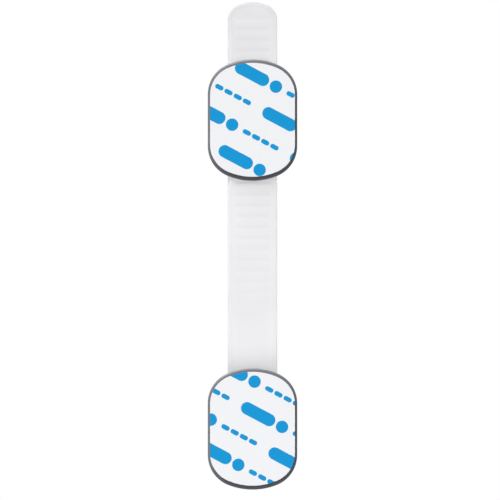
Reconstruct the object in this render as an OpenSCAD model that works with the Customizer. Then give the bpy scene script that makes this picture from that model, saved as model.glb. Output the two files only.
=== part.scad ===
// Cabinet safety lock: two adhesive pods joined by a toothed strap.
// X runs across the strap, Z along it towards its tail, and Y from the adhesive to the front.
// The origin is the middle of the adjuster pod's adhesive face. The latch pod lies below it.

/* [Pods] */
// Width of a pod on each side of the strap
pod_side = 7.7; // [7:0.1:12]
// Length of each pod along the strap
pod_h = 46.6; // [43:0.1:60]
// Radius of a pod's bowed ends
pod_end_r = 25.4; // [23:0.1:60]
// Radius of a pod's corners
pod_corner_r = 12.4; // [11:0.1:14]
// Distance between the centres of the two pods
pod_spacing = 118.8; // [112:0.1:200]
// Depth of the adjuster's cover from its foot to its front
cover_h = 10; // [9.6:0.1:14]
// How far a cover draws in from its foot to its front
cover_draw = 5.6; // [4:0.1:6.4]
// Wall of a cover
wall = 1.5; // [1:0.1:1.8]

/* [Adhesive] */
// Rim that shows beside the liner
rim_side = 0.8; // [0.6:0.1:2]
// Rim that shows above and below the liner
rim_end = 1.4; // [0.8:0.1:3]
// How far the liner sits above the middle of its pod
tape_up = 0.14; // [0:0.02:0.4]
// Thickness of the release liner
liner_t = 0.2; // [0.1:0.05:0.4]
// Thickness of the foam tape
foam_t = 1; // [0.6:0.1:2]
// How far the foam stays inside the liner's edge
foam_inset = 0.15; // [0.05:0.05:0.5]

/* [Bases] */
// Thickness of a base plate
base_t = 1.8; // [1.5:0.1:3]
// Rounding of a base plate's back edge
base_edge = 0.75; // [0.3:0.05:1]

/* [Strap] */
// Width of the strap
strap_w = 19; // [18:0.1:24]
// Thickness of the strap
strap_t = 2; // [1.8:0.1:2.6]
// Length of tail that stands out above the adjuster pod
tail_len = 22.2; // [14:0.1:60]
// Radius of the tail's bowed end
tail_end_r = 15.4; // [13:0.1:30]
// Radius of the tail's corners
tail_corner_r = 6.7; // [4:0.1:8]
// Spacing of the strap's teeth
tooth_pitch = 4.15; // [3.6:0.05:4.4]
// Height of a tooth
tooth_h = 0.8; // [0.5:0.05:1]
// Width of the toothed lane
tooth_w = 13.6; // [12:0.1:15]
// Flat crest between two teeth
tooth_land = 0.35; // [0.3:0.05:0.8]
// Number of teeth above the one that the pawl holds
teeth_above = 6; // [5:1:6]
// Number of teeth below the one that the pawl holds
teeth_below = 20; // [12:1:20]
// Distance of the strap's bend above the latch pod's centre
bend_up = 32.8; // [30:0.1:34]

/* [Adjuster] */
// Radius of the pins that the lever and the strap turn on
pin_r = 1; // [0.8:0.05:1.2]
// Radius of the lever's hubs
hub_r = 2.4; // [2:0.1:2.6]
// Width of the bay between the hubs, which holds the spring
spring_bay = 6; // [5.4:0.1:7]
// Height of the upper nose face above the lever's pivot
nose_reach = 8.6; // [8:0.05:10]
// Thickness of the lever's nose arm
arm_t = 2; // [1.6:0.1:2.4]
// Width of the press pad
pad_w = 14.4; // [12:0.1:15]
// Length of the press pad along the strap
pad_len = 12.8; // [10:0.1:13.4]
// Depth of the press pad
pad_depth = 3.9; // [3:0.1:4.2]
// How far the press pad stands proud of the cover
pad_proud = 0.4; // [0:0.1:1]
// Number of grip ribs on the press pad
grip_ribs = 4; // [2:1:4]
// Thickness of the strap's guide walls
guide_t = 1.2; // [1:0.1:1.4]

/* [Latch] */
// Depth of the strap's pin below the latch pod's upper end
strap_pin_in = 8.8; // [8.3:0.1:9.5]
// Radius of the strap's barrel
barrel_r = 2.3; // [2:0.1:2.6]
// Width of the strap's barrel
barrel_w = 14; // [12:0.1:14.6]
// Thickness of the head's frame plate
frame_t = 1.2; // [1:0.1:1.6]
// Travel of a button
button_travel = 1.8; // [1.5:0.1:2]
// How far a button hooks under its keeper
hook_lap = 1.1; // [0.8:0.05:1.3]
// Thickness of a button's slide
slide_t = 1.6; // [1.2:0.1:2]
// Height of a button's cap
cap_t = 4.2; // [3.6:0.1:4.4]
// Length of a button's cap along the strap
cap_len = 15.6; // [13:0.1:16]
// Thickness of a keeper post
post_t = 1.6; // [1.2:0.1:1.8]
// Width of a keeper post along the strap
post_w = 8; // [6:0.1:8.4]

/* [Springs and screws] */
// Wire of the button springs
wire_d = 0.4; // [0.3:0.02:0.44]
// Middle radius of a button spring
coil_r = 1.6; // [1.4:0.05:1.65]
// Length of a button spring at rest
coil_len = 5; // [4.8:0.1:5.4]
// Turns of a button spring
coil_turns = 4.5; // [3.5:1:4.5]
// Wire of the lever's spring
lever_wire_d = 0.45; // [0.35:0.05:0.5]
// Middle radius of the lever's spring
lever_coil_r = 1.75; // [1.65:0.05:1.85]
// Width of the lever's spring between the middles of its two legs
lever_coil_w = 3.2; // [2.8:0.1:3.6]
// Turns of the lever's spring
lever_coil_turns = 3; // [2:1:3]
// Radius of a screw's shank
screw_r = 0.8; // [0.6:0.05:0.9]
// Radius of a screw's head
screw_head_r = 1.7; // [1.4:0.05:1.9]
// Length of a screw
screw_len = 7.5; // [5:0.1:8]
// Radius of a screw boss
boss_r = 1.9; // [1.6:0.1:2]

/* [Hidden] */
$fn = 48;

// Colours
pod_grey = "#7f838a";
liner_white = "#f5f5f6";
foam_white = "#e6e6e2";
strap_white = "#eceff1";
button_white = "#d9dcdf";
steel = "#b9bcc0";

// Clearances
overrun = 0.05;
strap_gap = 0.25;
guide_gap = 0.3;
slot_gap = 0.4;
head_gap = 0.2;
frame_gap = 0.3;
pin_fit = 0.03;
pin_run = 0.05;
hub_gap = 0.35;
hub_side_gap = 0.4;
nose_gap = 0.2;
nose_side_gap = 0.4;
mesh_gap = 0.55;
pad_gap = 0.4;
pad_swing = 1.1;
slide_gap = 0.2;
stop_gap = 0.1;
part_gap = 0.3;
seat_gap = 0.05;
screw_fit = 0.03;
bend_gap = 0.25;

// Small sizes of the pieces
base_edge_shares = [[0, 1], [0.17, 0.4], [0.5, 0], [1, 0]];
cover_shares = [[0, 0], [0.2, 0.03], [0.55, 0.16], [0.8, 0.39], [0.93, 0.64], [1, 1]];
cap_edge_shares = [[0, 0], [0.72, 0], [0.9, 0.3], [1, 1]];
cap_edge = 0.8;
corner_steps = 7;
end_steps = 6;
round_steps = 10;
embed = 0.5;
ear_r = 2.2;
guide_lip = 0.35;
guide_end = 6.3;
arm_drop = 1.8;
nose_tip = 0.3;
nose_root = 2.25;
pad_top_drop = 3;
pad_wall = 1.4;
arm_foot = 4;
arm_crown = 0.6;
arm_lift = 1.3;
grip_pitch = 2.3;
grip_w = 1;
grip_h = 0.35;
grip_inset = 2;
boss_end = 10.3;
leg_up = 7;
leg_down = 9;
barrel_sink = 0.05;
shoulder_up = 3.2;
shoulder_slope = 0.9;
frame_ear_t = 1.8;
frame_ear_r = 2.1;
rib_half = 1;
rib_w = 7;
rib_h = 4.4;
spigot_len = 1;
spigot_r = 0.9;
flange_t = 1;
flange_h = 4;
flange_w = 5.2;
slide_bar = 1.1;
rail_t = 1.2;
rail_h = 2.2;
lip_reach = 1.4;
lip_t = 1.2;
lip_lead = 0.7;
lip_clear = 1;
cap_inset = 0.2;
cap_lift = 0.4;
head_slot_h = 3.8;
head_boss_in = 4.6;
head_boss_end = 11.3;
low_boss_x = 9;
low_boss_end = 9.3;
screw_head_h = 0.8;
recess_w = 0.35;
recess_len = 2;
recess_depth = 0.45;

// Levels along Y
base_back = liner_t + foam_t;
base_front = base_back + base_t;
strap_back = base_front + strap_gap;
strap_mid = strap_back + strap_t / 2;
strap_front = strap_back + strap_t;
tooth_valley = strap_front - tooth_h;
pawl_y = strap_front + hub_gap + hub_r;
cover_front = base_front + cover_h;
cover_inside = cover_front - wall;
pad_front = cover_front + pad_proud;
pad_back = pad_front - pad_depth;
pad_inside = pad_front - pad_wall;
head_foot = base_front + head_gap;
frame_front = head_foot + frame_t;
slide_back = frame_front + slide_gap;
slide_front = slide_back + slide_t;
lip_back = slide_front + slide_gap;
lip_front = lip_back + lip_t;
barrel_y = strap_back + barrel_r - barrel_sink;
coil_y = slide_back + coil_r + wire_d / 2;
cap_mid = slide_back + cap_lift + cap_t / 2;

// Places along X
pod_w = strap_w + 2 * pod_side;
guide_in = strap_w / 2 + guide_gap;
guide_out = guide_in + guide_t;
slot_half = strap_w / 2 + slot_gap;
hub_in = spring_bay / 2;
hub_out = guide_in - hub_side_gap;
nose_half = tooth_w / 2 - nose_side_gap;
boss_x = guide_out + part_gap + boss_r;
head_boss_x = pod_w / 2 - head_boss_in;
flange_in = rib_half + coil_len;
flange_out = flange_in + flange_t;
lip_in = flange_out + lip_clear;
post_in = lip_in + lip_reach;
post_out = post_in + post_t;
hook_x = lip_in + hook_lap;
cap_in = post_out + button_travel + part_gap;
cap_out = pod_w / 2 - cap_inset;
rail_out = cap_in - button_travel - part_gap;
ear_in = barrel_w / 2 + part_gap;
ear_out = ear_in + frame_ear_t;

// Places along Z
pod_half = pod_h / 2;
strap_pin_up = pod_half - strap_pin_in;
tail_top = pod_half + tail_len;
bend_z = bend_up - pod_spacing;
root_top = bend_z - strap_t / 2 - bend_gap;
strap_pin_z = strap_pin_up - pod_spacing;
shoulder_low = strap_pin_z + shoulder_up;
shoulder_top = shoulder_low + shoulder_slope;
held_face = nose_reach + mesh_gap;
guide_half = pod_half - guide_end;
boss_z = pod_half - boss_end;
head_boss_z = pod_half - head_boss_end;
low_boss_z = low_boss_end - pod_half;
pad_top = -pad_top_drop;
pad_low = pad_top - pad_len;
slide_half = post_w / 2 + slide_gap * 2 + slide_bar;
rail_in = slide_half + part_gap;
rail_edge = rail_in + rail_t;

adjuster_screw_places = [for (x = [-boss_x, boss_x]) for (z = [-boss_z, boss_z]) [x, z]];
head_screw_places = [
    [-head_boss_x, head_boss_z], [head_boss_x, head_boss_z],
    [-low_boss_x, low_boss_z], [low_boss_x, low_boss_z]
];

// Points of an arc about c, from angle a0 to a1
function arc(c, r, a0, a1, steps, skip = 0) =
    [for (i = [skip:steps]) let (a = a0 + (a1 - a0) * i / steps) c + r * [cos(a), sin(a)]];

// Half outline with a bowed end and round corners, from the right side over the end to the left
function bowed_end(w, top, end_r, corner_r) =
    let (cx = w / 2 - corner_r,
         ez = top - end_r,
         cz = ez + sqrt(pow(end_r - corner_r, 2) - pow(cx, 2)),
         a = atan2(cz - ez, cx))
    concat(arc([cx, cz], corner_r, 0, a, corner_steps),
           arc([0, ez], end_r, a, 180 - a, end_steps, 1),
           arc([-cx, cz], corner_r, 180 - a, 180, corner_steps, 1));

// Outline with two bowed ends
function pad_outline(w, h, end_r, corner_r) =
    let (half = bowed_end(w, h / 2, end_r, corner_r)) concat(half, -1 * half);

function pod_outline(inset) =
    pad_outline(pod_w - 2 * inset, pod_h - 2 * inset, pod_end_r - inset, pod_corner_r - inset);

function tape_outline(inset) =
    pad_outline(pod_w - 2 * (rim_side + inset), pod_h - 2 * (rim_end + inset),
                pod_end_r - rim_end - inset, pod_corner_r - (rim_side + rim_end) / 2 - inset);

// Outline with two round ends, long along its second axis
function stadium(half_len, r) =
    concat(arc([0, half_len - r], r, 0, 180, round_steps),
           arc([0, r - half_len], r, 180, 360, round_steps));

// An outline of X and Z laid at height y
function ring(outline, y) = [for (p = outline) [p[0], y, p[1]]];

// Rings of a pod's cover, drawn in by its shares
function cover_rings(foot, front, inset) =
    [for (s = cover_shares) ring(pod_outline(inset + cover_draw * s[1]), foot + (front - foot) * s[0])];

// Directions and rings of a tube along a path
function unit(v) = v / norm(v);
function tangents(path) =
    let (last = len(path) - 1)
    [for (i = [0:last]) unit(path[min(i + 1, last)] - path[max(i - 1, 0)])];
function carried(ts, n, i = 0) =
    i == len(ts) ? []
    : let (m = unit(n - (n * ts[i]) * ts[i])) concat([m], carried(ts, m, i + 1));
function tube_rings(path, r, side) =
    let (ts = tangents(path), ns = carried(ts, side))
    [for (i = [0:len(path) - 1])
        [for (k = [0:5]) path[i] + r * (cos(60 * k) * ns[i] - sin(60 * k) * cross(ts[i], ns[i]))]];

// Least gap of a wire to itself, between points at least a curl's half apart
function least_gap(path, d, rings) =
    min([for (i = [0:len(path) - 1]) for (j = [i + rings / 2:len(path) - 1]) norm(path[i] - path[j])]) - d;

// Screw's half section, grown by a gap for its hole
function screw_section(gap) = [
    [0, 0], [screw_head_r + gap, 0], [screw_r + gap, screw_head_h],
    [screw_r + gap, screw_len - screw_r + gap], [0, screw_len + gap]
];

// Path of a button spring along X, with straight ends
curl_rings = 8;
coil_rise = coil_len - 2 * (seat_gap + wire_d);
coil_steps = coil_turns * curl_rings;
coil_path = concat(
    [[seat_gap, coil_r, 0]],
    [for (i = [0:coil_steps]) let (a = 360 * i / curl_rings)
        [seat_gap + wire_d + coil_rise * i / coil_steps, coil_r * cos(a), coil_r * sin(a)]],
    [[coil_len - seat_gap, coil_r * cos(360 * coil_turns), coil_r * sin(360 * coil_turns)]]);

// Path of the lever's spring about its pin: a leg to the cover, its turns, a leg to the press pad
leg_a = [cover_inside - seat_gap - lever_wire_d / 2 - pawl_y, leg_up];
leg_b = [pad_inside - seat_gap - lever_wire_d / 2 - pawl_y, -leg_down];
leg_a_angle = atan2(leg_a[1], leg_a[0]) - acos(lever_coil_r / norm(leg_a));
leg_b_angle = atan2(leg_b[1], leg_b[0]) + acos(lever_coil_r / norm(leg_b));
lever_sweep = 360 * lever_coil_turns + leg_a_angle - leg_b_angle;
lever_steps = ceil(lever_sweep * curl_rings / 360);
lever_path = concat(
    [[-lever_coil_w / 2, leg_a[0], leg_a[1]]],
    [for (i = [0:lever_steps]) let (a = leg_a_angle - lever_sweep * i / lever_steps)
        [lever_coil_w * (i / lever_steps - 1 / 2), lever_coil_r * cos(a), lever_coil_r * sin(a)]],
    [[lever_coil_w / 2, leg_b[0], leg_b[1]]]);

echo(str("button spring least gap ", least_gap(coil_path, wire_d, curl_rings)));
echo(str("lever spring least gap ", least_gap(lever_path, lever_wire_d, curl_rings)));

// An outline of X and Z, made solid between two levels of Y
module slab(y0, y1)
    translate([0, y1, 0]) rotate([90, 0, 0]) linear_extrude(height = y1 - y0) children();

// An outline of Y and Z, made solid between two places of X
module across(x0, x1)
    translate([x0, 0, 0]) rotate([90, 0, 90]) linear_extrude(height = x1 - x0) children();

// A round bar along X
module bar(r, x0, x1)
    translate([x0, 0, 0]) rotate([0, 90, 0]) cylinder(r = r, h = x1 - x0);

// A block between two corners
module block(low, high) translate(low) cube(high - low);

module both_sides() for (m = [0, 1]) mirror([m, 0, 0]) children();

module at_latch() translate([0, 0, -pod_spacing]) children();

// A closed solid through rings with equal numbers of points
module loft(rings) {
    n = len(rings[0]);
    last = len(rings) - 1;
    polyhedron(
        points = [for (r = rings) for (p = r) p],
        faces = concat(
            [for (i = [1:n - 2]) [0, i + 1, i]],
            [for (k = [0:last - 1]) for (i = [0:n - 1])
                [k * n + i, k * n + (i + 1) % n, k * n + n + (i + 1) % n]],
            [for (k = [0:last - 1]) for (i = [0:n - 1])
                [k * n + i, k * n + n + (i + 1) % n, k * n + n + i]],
            [for (i = [1:n - 2]) [last * n, last * n + i, last * n + i + 1]]));
}

module liner() slab(0, liner_t) translate([0, tape_up]) polygon(tape_outline(0));

module foam() slab(liner_t, base_back) translate([0, tape_up]) polygon(tape_outline(foam_inset));

module base_plate()
    loft([for (s = base_edge_shares) ring(pod_outline(base_edge * s[1]), base_back + base_t * s[0])]);

module screw_holes(places, y)
    for (p = places)
        translate([p[0], y, p[1]]) rotate([-90, 0, 0]) rotate_extrude() polygon(screw_section(screw_fit));

module screws(places, y)
    for (p = places)
        translate([p[0], y, p[1]]) difference() {
            rotate([-90, 0, 0]) rotate_extrude() polygon(screw_section(0));
            block([-recess_len / 2, -overrun, -recess_w / 2], [recess_len / 2, recess_depth, recess_w / 2]);
            block([-recess_w / 2, -overrun, -recess_len / 2], [recess_w / 2, recess_depth, recess_len / 2]);
        }

// Hollow cover that stands on foot, with screw bosses from boss_foot to its front
module cover_shell(foot, boss_foot, places)
    difference() {
        loft(cover_rings(foot, cover_front, 0));
        difference() {
            loft(cover_rings(foot - overrun, cover_inside, wall));
            for (p = places)
                translate([p[0], boss_foot, p[1]]) rotate([-90, 0, 0]) cylinder(r = boss_r, h = cover_h);
        }
    }

module adjuster_liner() color(liner_white) liner();

module adjuster_foam() color(foam_white) foam();

module adjuster_base() color(pod_grey) difference() {
    union() {
        base_plate();
        both_sides() across(guide_in, guide_out) polygon(concat(
            [[base_front - embed, -guide_half], [strap_front + guide_lip, -guide_half],
             [strap_front + guide_lip, -ear_r]],
            arc([pawl_y, 0], ear_r, -90, 90, round_steps),
            [[strap_front + guide_lip, ear_r], [strap_front + guide_lip, guide_half],
             [base_front - embed, guide_half]]));
    }
    translate([0, pawl_y, 0]) bar(pin_r + pin_fit, -guide_out - overrun, guide_out + overrun);
    screw_holes(adjuster_screw_places, base_back);
}

module adjuster_cover() color(pod_grey) difference() {
    cover_shell(base_front, base_front, adjuster_screw_places);
    block([-slot_half, base_front - overrun, -pod_half],
          [slot_half, strap_front + slot_gap, pod_half]);
    block([-pad_w / 2 - pad_gap, cover_inside - wall, pad_low - pad_swing],
          [pad_w / 2 + pad_gap, cover_front + overrun, pad_top + pad_gap]);
    screw_holes(adjuster_screw_places, base_back);
}

module adjuster_screws() color(steel) screws(adjuster_screw_places, base_back);

// One nose tooth of the lever, with its face at z
module nose_tooth(z)
    across(-nose_half, nose_half) polygon([
        [pawl_y - arm_drop + overrun, z], [tooth_valley + nose_gap, z],
        [tooth_valley + nose_gap, z - nose_tip], [pawl_y - arm_drop + overrun, z - nose_root]
    ]);

// Press pad: a thick front with a skirt, open behind for the spring's leg
module press_pad() {
    difference() {
        block([-pad_w / 2, pad_back, pad_low], [pad_w / 2, pad_front, pad_top]);
        block([pad_wall - pad_w / 2, pad_back - overrun, pad_low + pad_wall],
              [pad_w / 2 - pad_wall, pad_inside, pad_top - pad_wall]);
        block([-hub_in, pad_back - overrun, pad_low + pad_wall], [hub_in, pad_inside, pad_top + overrun]);
    }
    for (i = [0:grip_ribs - 1])
        translate([0, pad_front, pad_top - pad_len / 2 + grip_pitch * (i - (grip_ribs - 1) / 2)])
            block([grip_inset - pad_w / 2, -embed, -grip_w / 2],
                  [pad_w / 2 - grip_inset, grip_h, grip_w / 2]);
}

module pawl_lever() color(button_white) difference() {
    union() {
        both_sides() {
            translate([0, pawl_y, 0]) bar(hub_r, hub_in, hub_out);
            across(hub_in, nose_half) polygon([
                [pawl_y - arm_drop, 0], [pawl_y - arm_drop + arm_t, 0],
                [pawl_y - arm_drop + arm_t, nose_reach], [pawl_y - arm_drop, nose_reach]
            ]);
            across(hub_in, pad_w / 2) polygon([
                [pawl_y, 0], [pawl_y - arm_drop, -hub_r / 2], [pad_back, pad_top - arm_foot],
                [pad_inside + overrun, pad_top - arm_foot], [pad_inside + overrun, pad_top - pad_wall],
                [pad_back + arm_lift, pad_top], [pawl_y + hub_r, arm_crown]
            ]);
        }
        block([-nose_half, pawl_y - arm_drop, spring_bay / 2],
              [nose_half, pawl_y - arm_drop + arm_t, nose_reach]);
        nose_tooth(nose_reach);
        nose_tooth(nose_reach - tooth_pitch);
        press_pad();
    }
    translate([0, pawl_y, 0]) bar(pin_r + pin_run, -hub_out - overrun, hub_out + overrun);
}

module pawl_pin() color(steel) translate([0, pawl_y, 0]) bar(pin_r, -guide_out, guide_out);

module pawl_spring() color(steel)
    translate([0, pawl_y, 0]) loft(tube_rings(lever_path, lever_wire_d / 2, [1, 0, 0]));

module strap_band() color(strap_white) difference() {
    intersection() {
        across(-strap_w, strap_w) polygon(concat(
            arc([strap_mid, bend_z], strap_t / 2, 180, 360, round_steps),
            [[strap_front, tail_top + overrun], [strap_back, tail_top + overrun]]));
        slab(strap_back - overrun, strap_front + overrun) polygon(concat(
            [[-strap_w / 2, bend_z - strap_t], [strap_w / 2, bend_z - strap_t]],
            bowed_end(strap_w, tail_top, tail_end_r, tail_corner_r)));
    }
    for (k = [-teeth_below:teeth_above]) {
        face = held_face + k * tooth_pitch;
        run = (tooth_pitch - tooth_land) * (tooth_h + overrun) / tooth_h;
        across(-tooth_w / 2, tooth_w / 2) polygon([
            [strap_front + overrun, face - run], [tooth_valley, face], [strap_front + overrun, face]
        ]);
    }
}

module strap_root() color(strap_white) difference() {
    union() {
        slab(strap_back, strap_front) polygon([
            [-strap_w / 2, root_top], [-strap_w / 2, shoulder_top], [-barrel_w / 2, shoulder_low],
            [-barrel_w / 2, strap_pin_z], [barrel_w / 2, strap_pin_z],
            [barrel_w / 2, shoulder_low], [strap_w / 2, shoulder_top], [strap_w / 2, root_top]
        ]);
        at_latch() translate([0, barrel_y, strap_pin_up]) bar(barrel_r, -barrel_w / 2, barrel_w / 2);
    }
    at_latch() translate([0, barrel_y, strap_pin_up])
        bar(pin_r + pin_run, -barrel_w / 2 - overrun, barrel_w / 2 + overrun);
}

module strap_pin() color(steel)
    at_latch() translate([0, barrel_y, strap_pin_up]) bar(pin_r, -ear_out, ear_out);

module head_frame() color(pod_grey) at_latch() difference() {
    union() {
        difference() {
            slab(head_foot, frame_front) polygon(pod_outline(wall + frame_gap));
            block([-ear_in + overrun, head_foot - overrun, strap_pin_up - barrel_r - part_gap],
                  [ear_in - overrun, frame_front + overrun, pod_half]);
            block([-slot_half, head_foot - overrun, strap_pin_up + frame_ear_r + part_gap],
                  [slot_half, frame_front + overrun, pod_half]);
            both_sides() block([lip_in - part_gap, head_foot - overrun, -post_w / 2 - part_gap],
                               [post_out + part_gap, frame_front + overrun, post_w / 2 + part_gap]);
        }
        both_sides() {
            across(ear_in, ear_out) polygon(concat(
                [[frame_front - embed, strap_pin_up + frame_ear_r],
                 [frame_front - embed, strap_pin_up - frame_ear_r]],
                arc([barrel_y, strap_pin_up], frame_ear_r, -90, 90, round_steps)));
            for (z = [rail_in, -rail_edge])
                block([flange_out + stop_gap, frame_front - embed, z],
                      [rail_out, frame_front + rail_h, z + rail_t]);
            translate([0, coil_y, 0]) bar(spigot_r, 0, rib_half + spigot_len);
        }
        block([-rib_half, frame_front - embed, -rib_w / 2], [rib_half, frame_front + rib_h, rib_w / 2]);
    }
    translate([0, barrel_y, strap_pin_up]) bar(pin_r + pin_fit, -ear_out - overrun, ear_out + overrun);
    screw_holes(head_screw_places, head_foot);
}

module head_cover() color(pod_grey) at_latch() difference() {
    cover_shell(head_foot, frame_front, head_screw_places);
    block([-slot_half, head_foot - overrun, strap_pin_up], [slot_half, head_foot + head_slot_h, pod_half]);
    across(-pod_w / 2, pod_w / 2) translate([cap_mid, 0])
        polygon(stadium(cap_len / 2 + part_gap, cap_t / 2 + part_gap));
    screw_holes(head_screw_places, head_foot);
}

module head_screws() color(steel) at_latch() screws(head_screw_places, head_foot);

// The button on the right side: a slide with a window for the keeper, a spring flange and a cap
module button() at_latch() {
    difference() {
        block([flange_in, slide_back, -slide_half], [cap_in + embed, slide_front, slide_half]);
        block([hook_x, slide_back - overrun, slide_bar - slide_half],
              [cap_in, slide_front + overrun, slide_half - slide_bar]);
    }
    block([flange_in, slide_back, -rail_edge], [flange_out, slide_front, rail_edge]);
    block([flange_in, slide_back, -flange_w / 2], [flange_out, slide_back + flange_h, flange_w / 2]);
    translate([0, coil_y, 0]) bar(spigot_r, flange_in - spigot_len, flange_out);
    translate([cap_in, cap_mid, 0]) rotate([0, 0, -90])
        loft([for (s = cap_edge_shares)
            ring(stadium(cap_len / 2 - cap_edge * s[1], cap_t / 2 - cap_edge * s[1]),
                 (cap_out - cap_in) * s[0])]);
}

module left_button() color(button_white) mirror([1, 0, 0]) button();

module right_button() color(button_white) button();

module button_spring()
    at_latch() translate([rib_half, coil_y, 0]) loft(tube_rings(coil_path, wire_d / 2, [0, 1, 0]));

module left_button_spring() color(steel) mirror([1, 0, 0]) button_spring();

module right_button_spring() color(steel) button_spring();

// Base that stays on the door, with two keeper posts that the buttons hook under
module latch_base() color(pod_grey) at_latch() {
    base_plate();
    both_sides() translate([0, 0, -post_w / 2]) linear_extrude(height = post_w) polygon([
        [post_in, base_front - embed], [post_out, base_front - embed], [post_out, lip_front],
        [lip_in + lip_lead, lip_front], [lip_in, lip_front - lip_lead],
        [lip_in, lip_back], [post_in, lip_back]
    ]);
}

module latch_foam() color(foam_white) at_latch() foam();

module latch_liner() color(liner_white) at_latch() liner();

adjuster_liner();
adjuster_foam();
adjuster_base();
adjuster_cover();
adjuster_screws();
pawl_lever();
pawl_pin();
pawl_spring();
strap_band();
strap_root();
strap_pin();
head_frame();
head_cover();
head_screws();
left_button();
right_button();
left_button_spring();
right_button_spring();
latch_base();
latch_foam();
latch_liner();
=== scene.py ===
"""Cabinet safety lock: the visible finish of its pods, strap, liners, lever, buttons and springs."""
import math

import bmesh
import bpy
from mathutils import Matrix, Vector


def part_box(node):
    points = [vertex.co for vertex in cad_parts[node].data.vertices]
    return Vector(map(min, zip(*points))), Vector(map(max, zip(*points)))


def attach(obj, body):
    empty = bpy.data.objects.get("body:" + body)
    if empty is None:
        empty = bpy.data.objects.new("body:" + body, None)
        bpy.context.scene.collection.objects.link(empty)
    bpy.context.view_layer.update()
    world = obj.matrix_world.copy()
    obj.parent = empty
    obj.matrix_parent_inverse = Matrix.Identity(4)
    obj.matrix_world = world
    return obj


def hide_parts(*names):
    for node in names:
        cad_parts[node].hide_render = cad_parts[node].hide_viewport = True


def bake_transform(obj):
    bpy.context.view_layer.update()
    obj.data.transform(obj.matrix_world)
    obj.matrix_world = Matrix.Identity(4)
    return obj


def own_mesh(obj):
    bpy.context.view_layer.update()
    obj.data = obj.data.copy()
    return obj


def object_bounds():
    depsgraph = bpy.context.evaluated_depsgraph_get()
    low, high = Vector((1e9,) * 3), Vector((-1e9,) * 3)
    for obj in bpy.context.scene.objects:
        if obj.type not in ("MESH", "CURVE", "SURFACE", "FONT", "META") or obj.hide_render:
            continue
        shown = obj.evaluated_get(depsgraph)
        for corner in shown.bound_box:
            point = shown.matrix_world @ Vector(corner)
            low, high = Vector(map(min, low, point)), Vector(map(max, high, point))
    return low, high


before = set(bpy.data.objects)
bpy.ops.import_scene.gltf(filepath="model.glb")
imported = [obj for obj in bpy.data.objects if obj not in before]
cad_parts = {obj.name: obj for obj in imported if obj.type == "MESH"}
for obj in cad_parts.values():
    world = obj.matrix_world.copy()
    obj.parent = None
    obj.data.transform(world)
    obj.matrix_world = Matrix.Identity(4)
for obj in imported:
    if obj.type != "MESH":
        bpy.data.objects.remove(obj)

bl_info = {
    "name": "Cabinet safety lock",
    "version": (1, 0, 0),
    "blender": (4, 5, 0),
    "location": "View3D > Sidebar > Lock",
    "description": "Models the finish of an adhesive cabinet lock round its packed frame",
    "category": "Object",
}

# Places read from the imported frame, in metres
CAD_LOW, CAD_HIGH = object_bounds()
LINER_LOW, LINER_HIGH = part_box("adjuster_liner")
FOAM_LOW, FOAM_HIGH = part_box("adjuster_foam")
BASE_LOW, BASE_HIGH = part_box("adjuster_base")
COVER_LOW, COVER_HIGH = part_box("adjuster_cover")
HEAD_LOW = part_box("head_cover")[0]
LATCH_LOW, LATCH_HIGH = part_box("latch_base")
LEVER_LOW, LEVER_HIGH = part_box("pawl_lever")
BAND_LOW, BAND_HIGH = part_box("strap_band")
ROOT_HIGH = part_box("strap_root")[1]
BUTTON_LOW, BUTTON_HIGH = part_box("right_button")
COIL_LOW, COIL_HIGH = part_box("right_button_spring")
LEVER_PIN = sum(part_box("pawl_pin"), Vector()) / 2
BARREL_PIN = sum(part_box("strap_pin"), Vector()) / 2
LATCH_Z = LATCH_LOW.z - BASE_LOW.z
POD_WIDTH = BASE_HIGH.x - BASE_LOW.x
POD_HEIGHT = BASE_HIGH.z - BASE_LOW.z
BAND_WIDTH = BAND_HIGH.x - BAND_LOW.x
LINER_Z = (LINER_LOW.z + LINER_HIGH.z) / 2
COIL_Y = (COIL_LOW.y + COIL_HIGH.y) / 2

# The back of a button's finger cap, a little in front of its slide's
CAP_LIFT = 0.0004
CAP_BACK = BUTTON_LOW.y + CAP_LIFT

# The screws, their bosses and their places on the right side, from the middle of a pod
SCREW_HEAD = 0.00173
SCREW_SHANK = 0.00083
SCREW_SINK = 0.0008
SCREW_LENGTH = 0.0076
BOSS_RADIUS = 0.0019
ADJUSTER_SCREWS = [(0.0132, 0.0130), (0.0132, -0.0130)]
HEAD_SCREWS = [(0.0126, 0.0120), (0.0090, -0.0140)]

# Steps of the round stretches
CORNER_STEPS = 16
END_STEPS = 14
ROLL_STEPS = 8
DOME_STEPS = 18
ROUND_SIDES = 48
COIL_STEPS = 24

# How squarely a picked face looks along an axis, and how near two places count as one
FACING = 0.9
TOUCH = 1e-6

# How far cutters run past a face, and how deep united shapes sink into each other
OVERRUN = 0.0005
OVERLAP = 0.00005

# Millimetres in a metre, for the patterns of the finishes
MM = 1000.0


# Settings that a user would change

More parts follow.
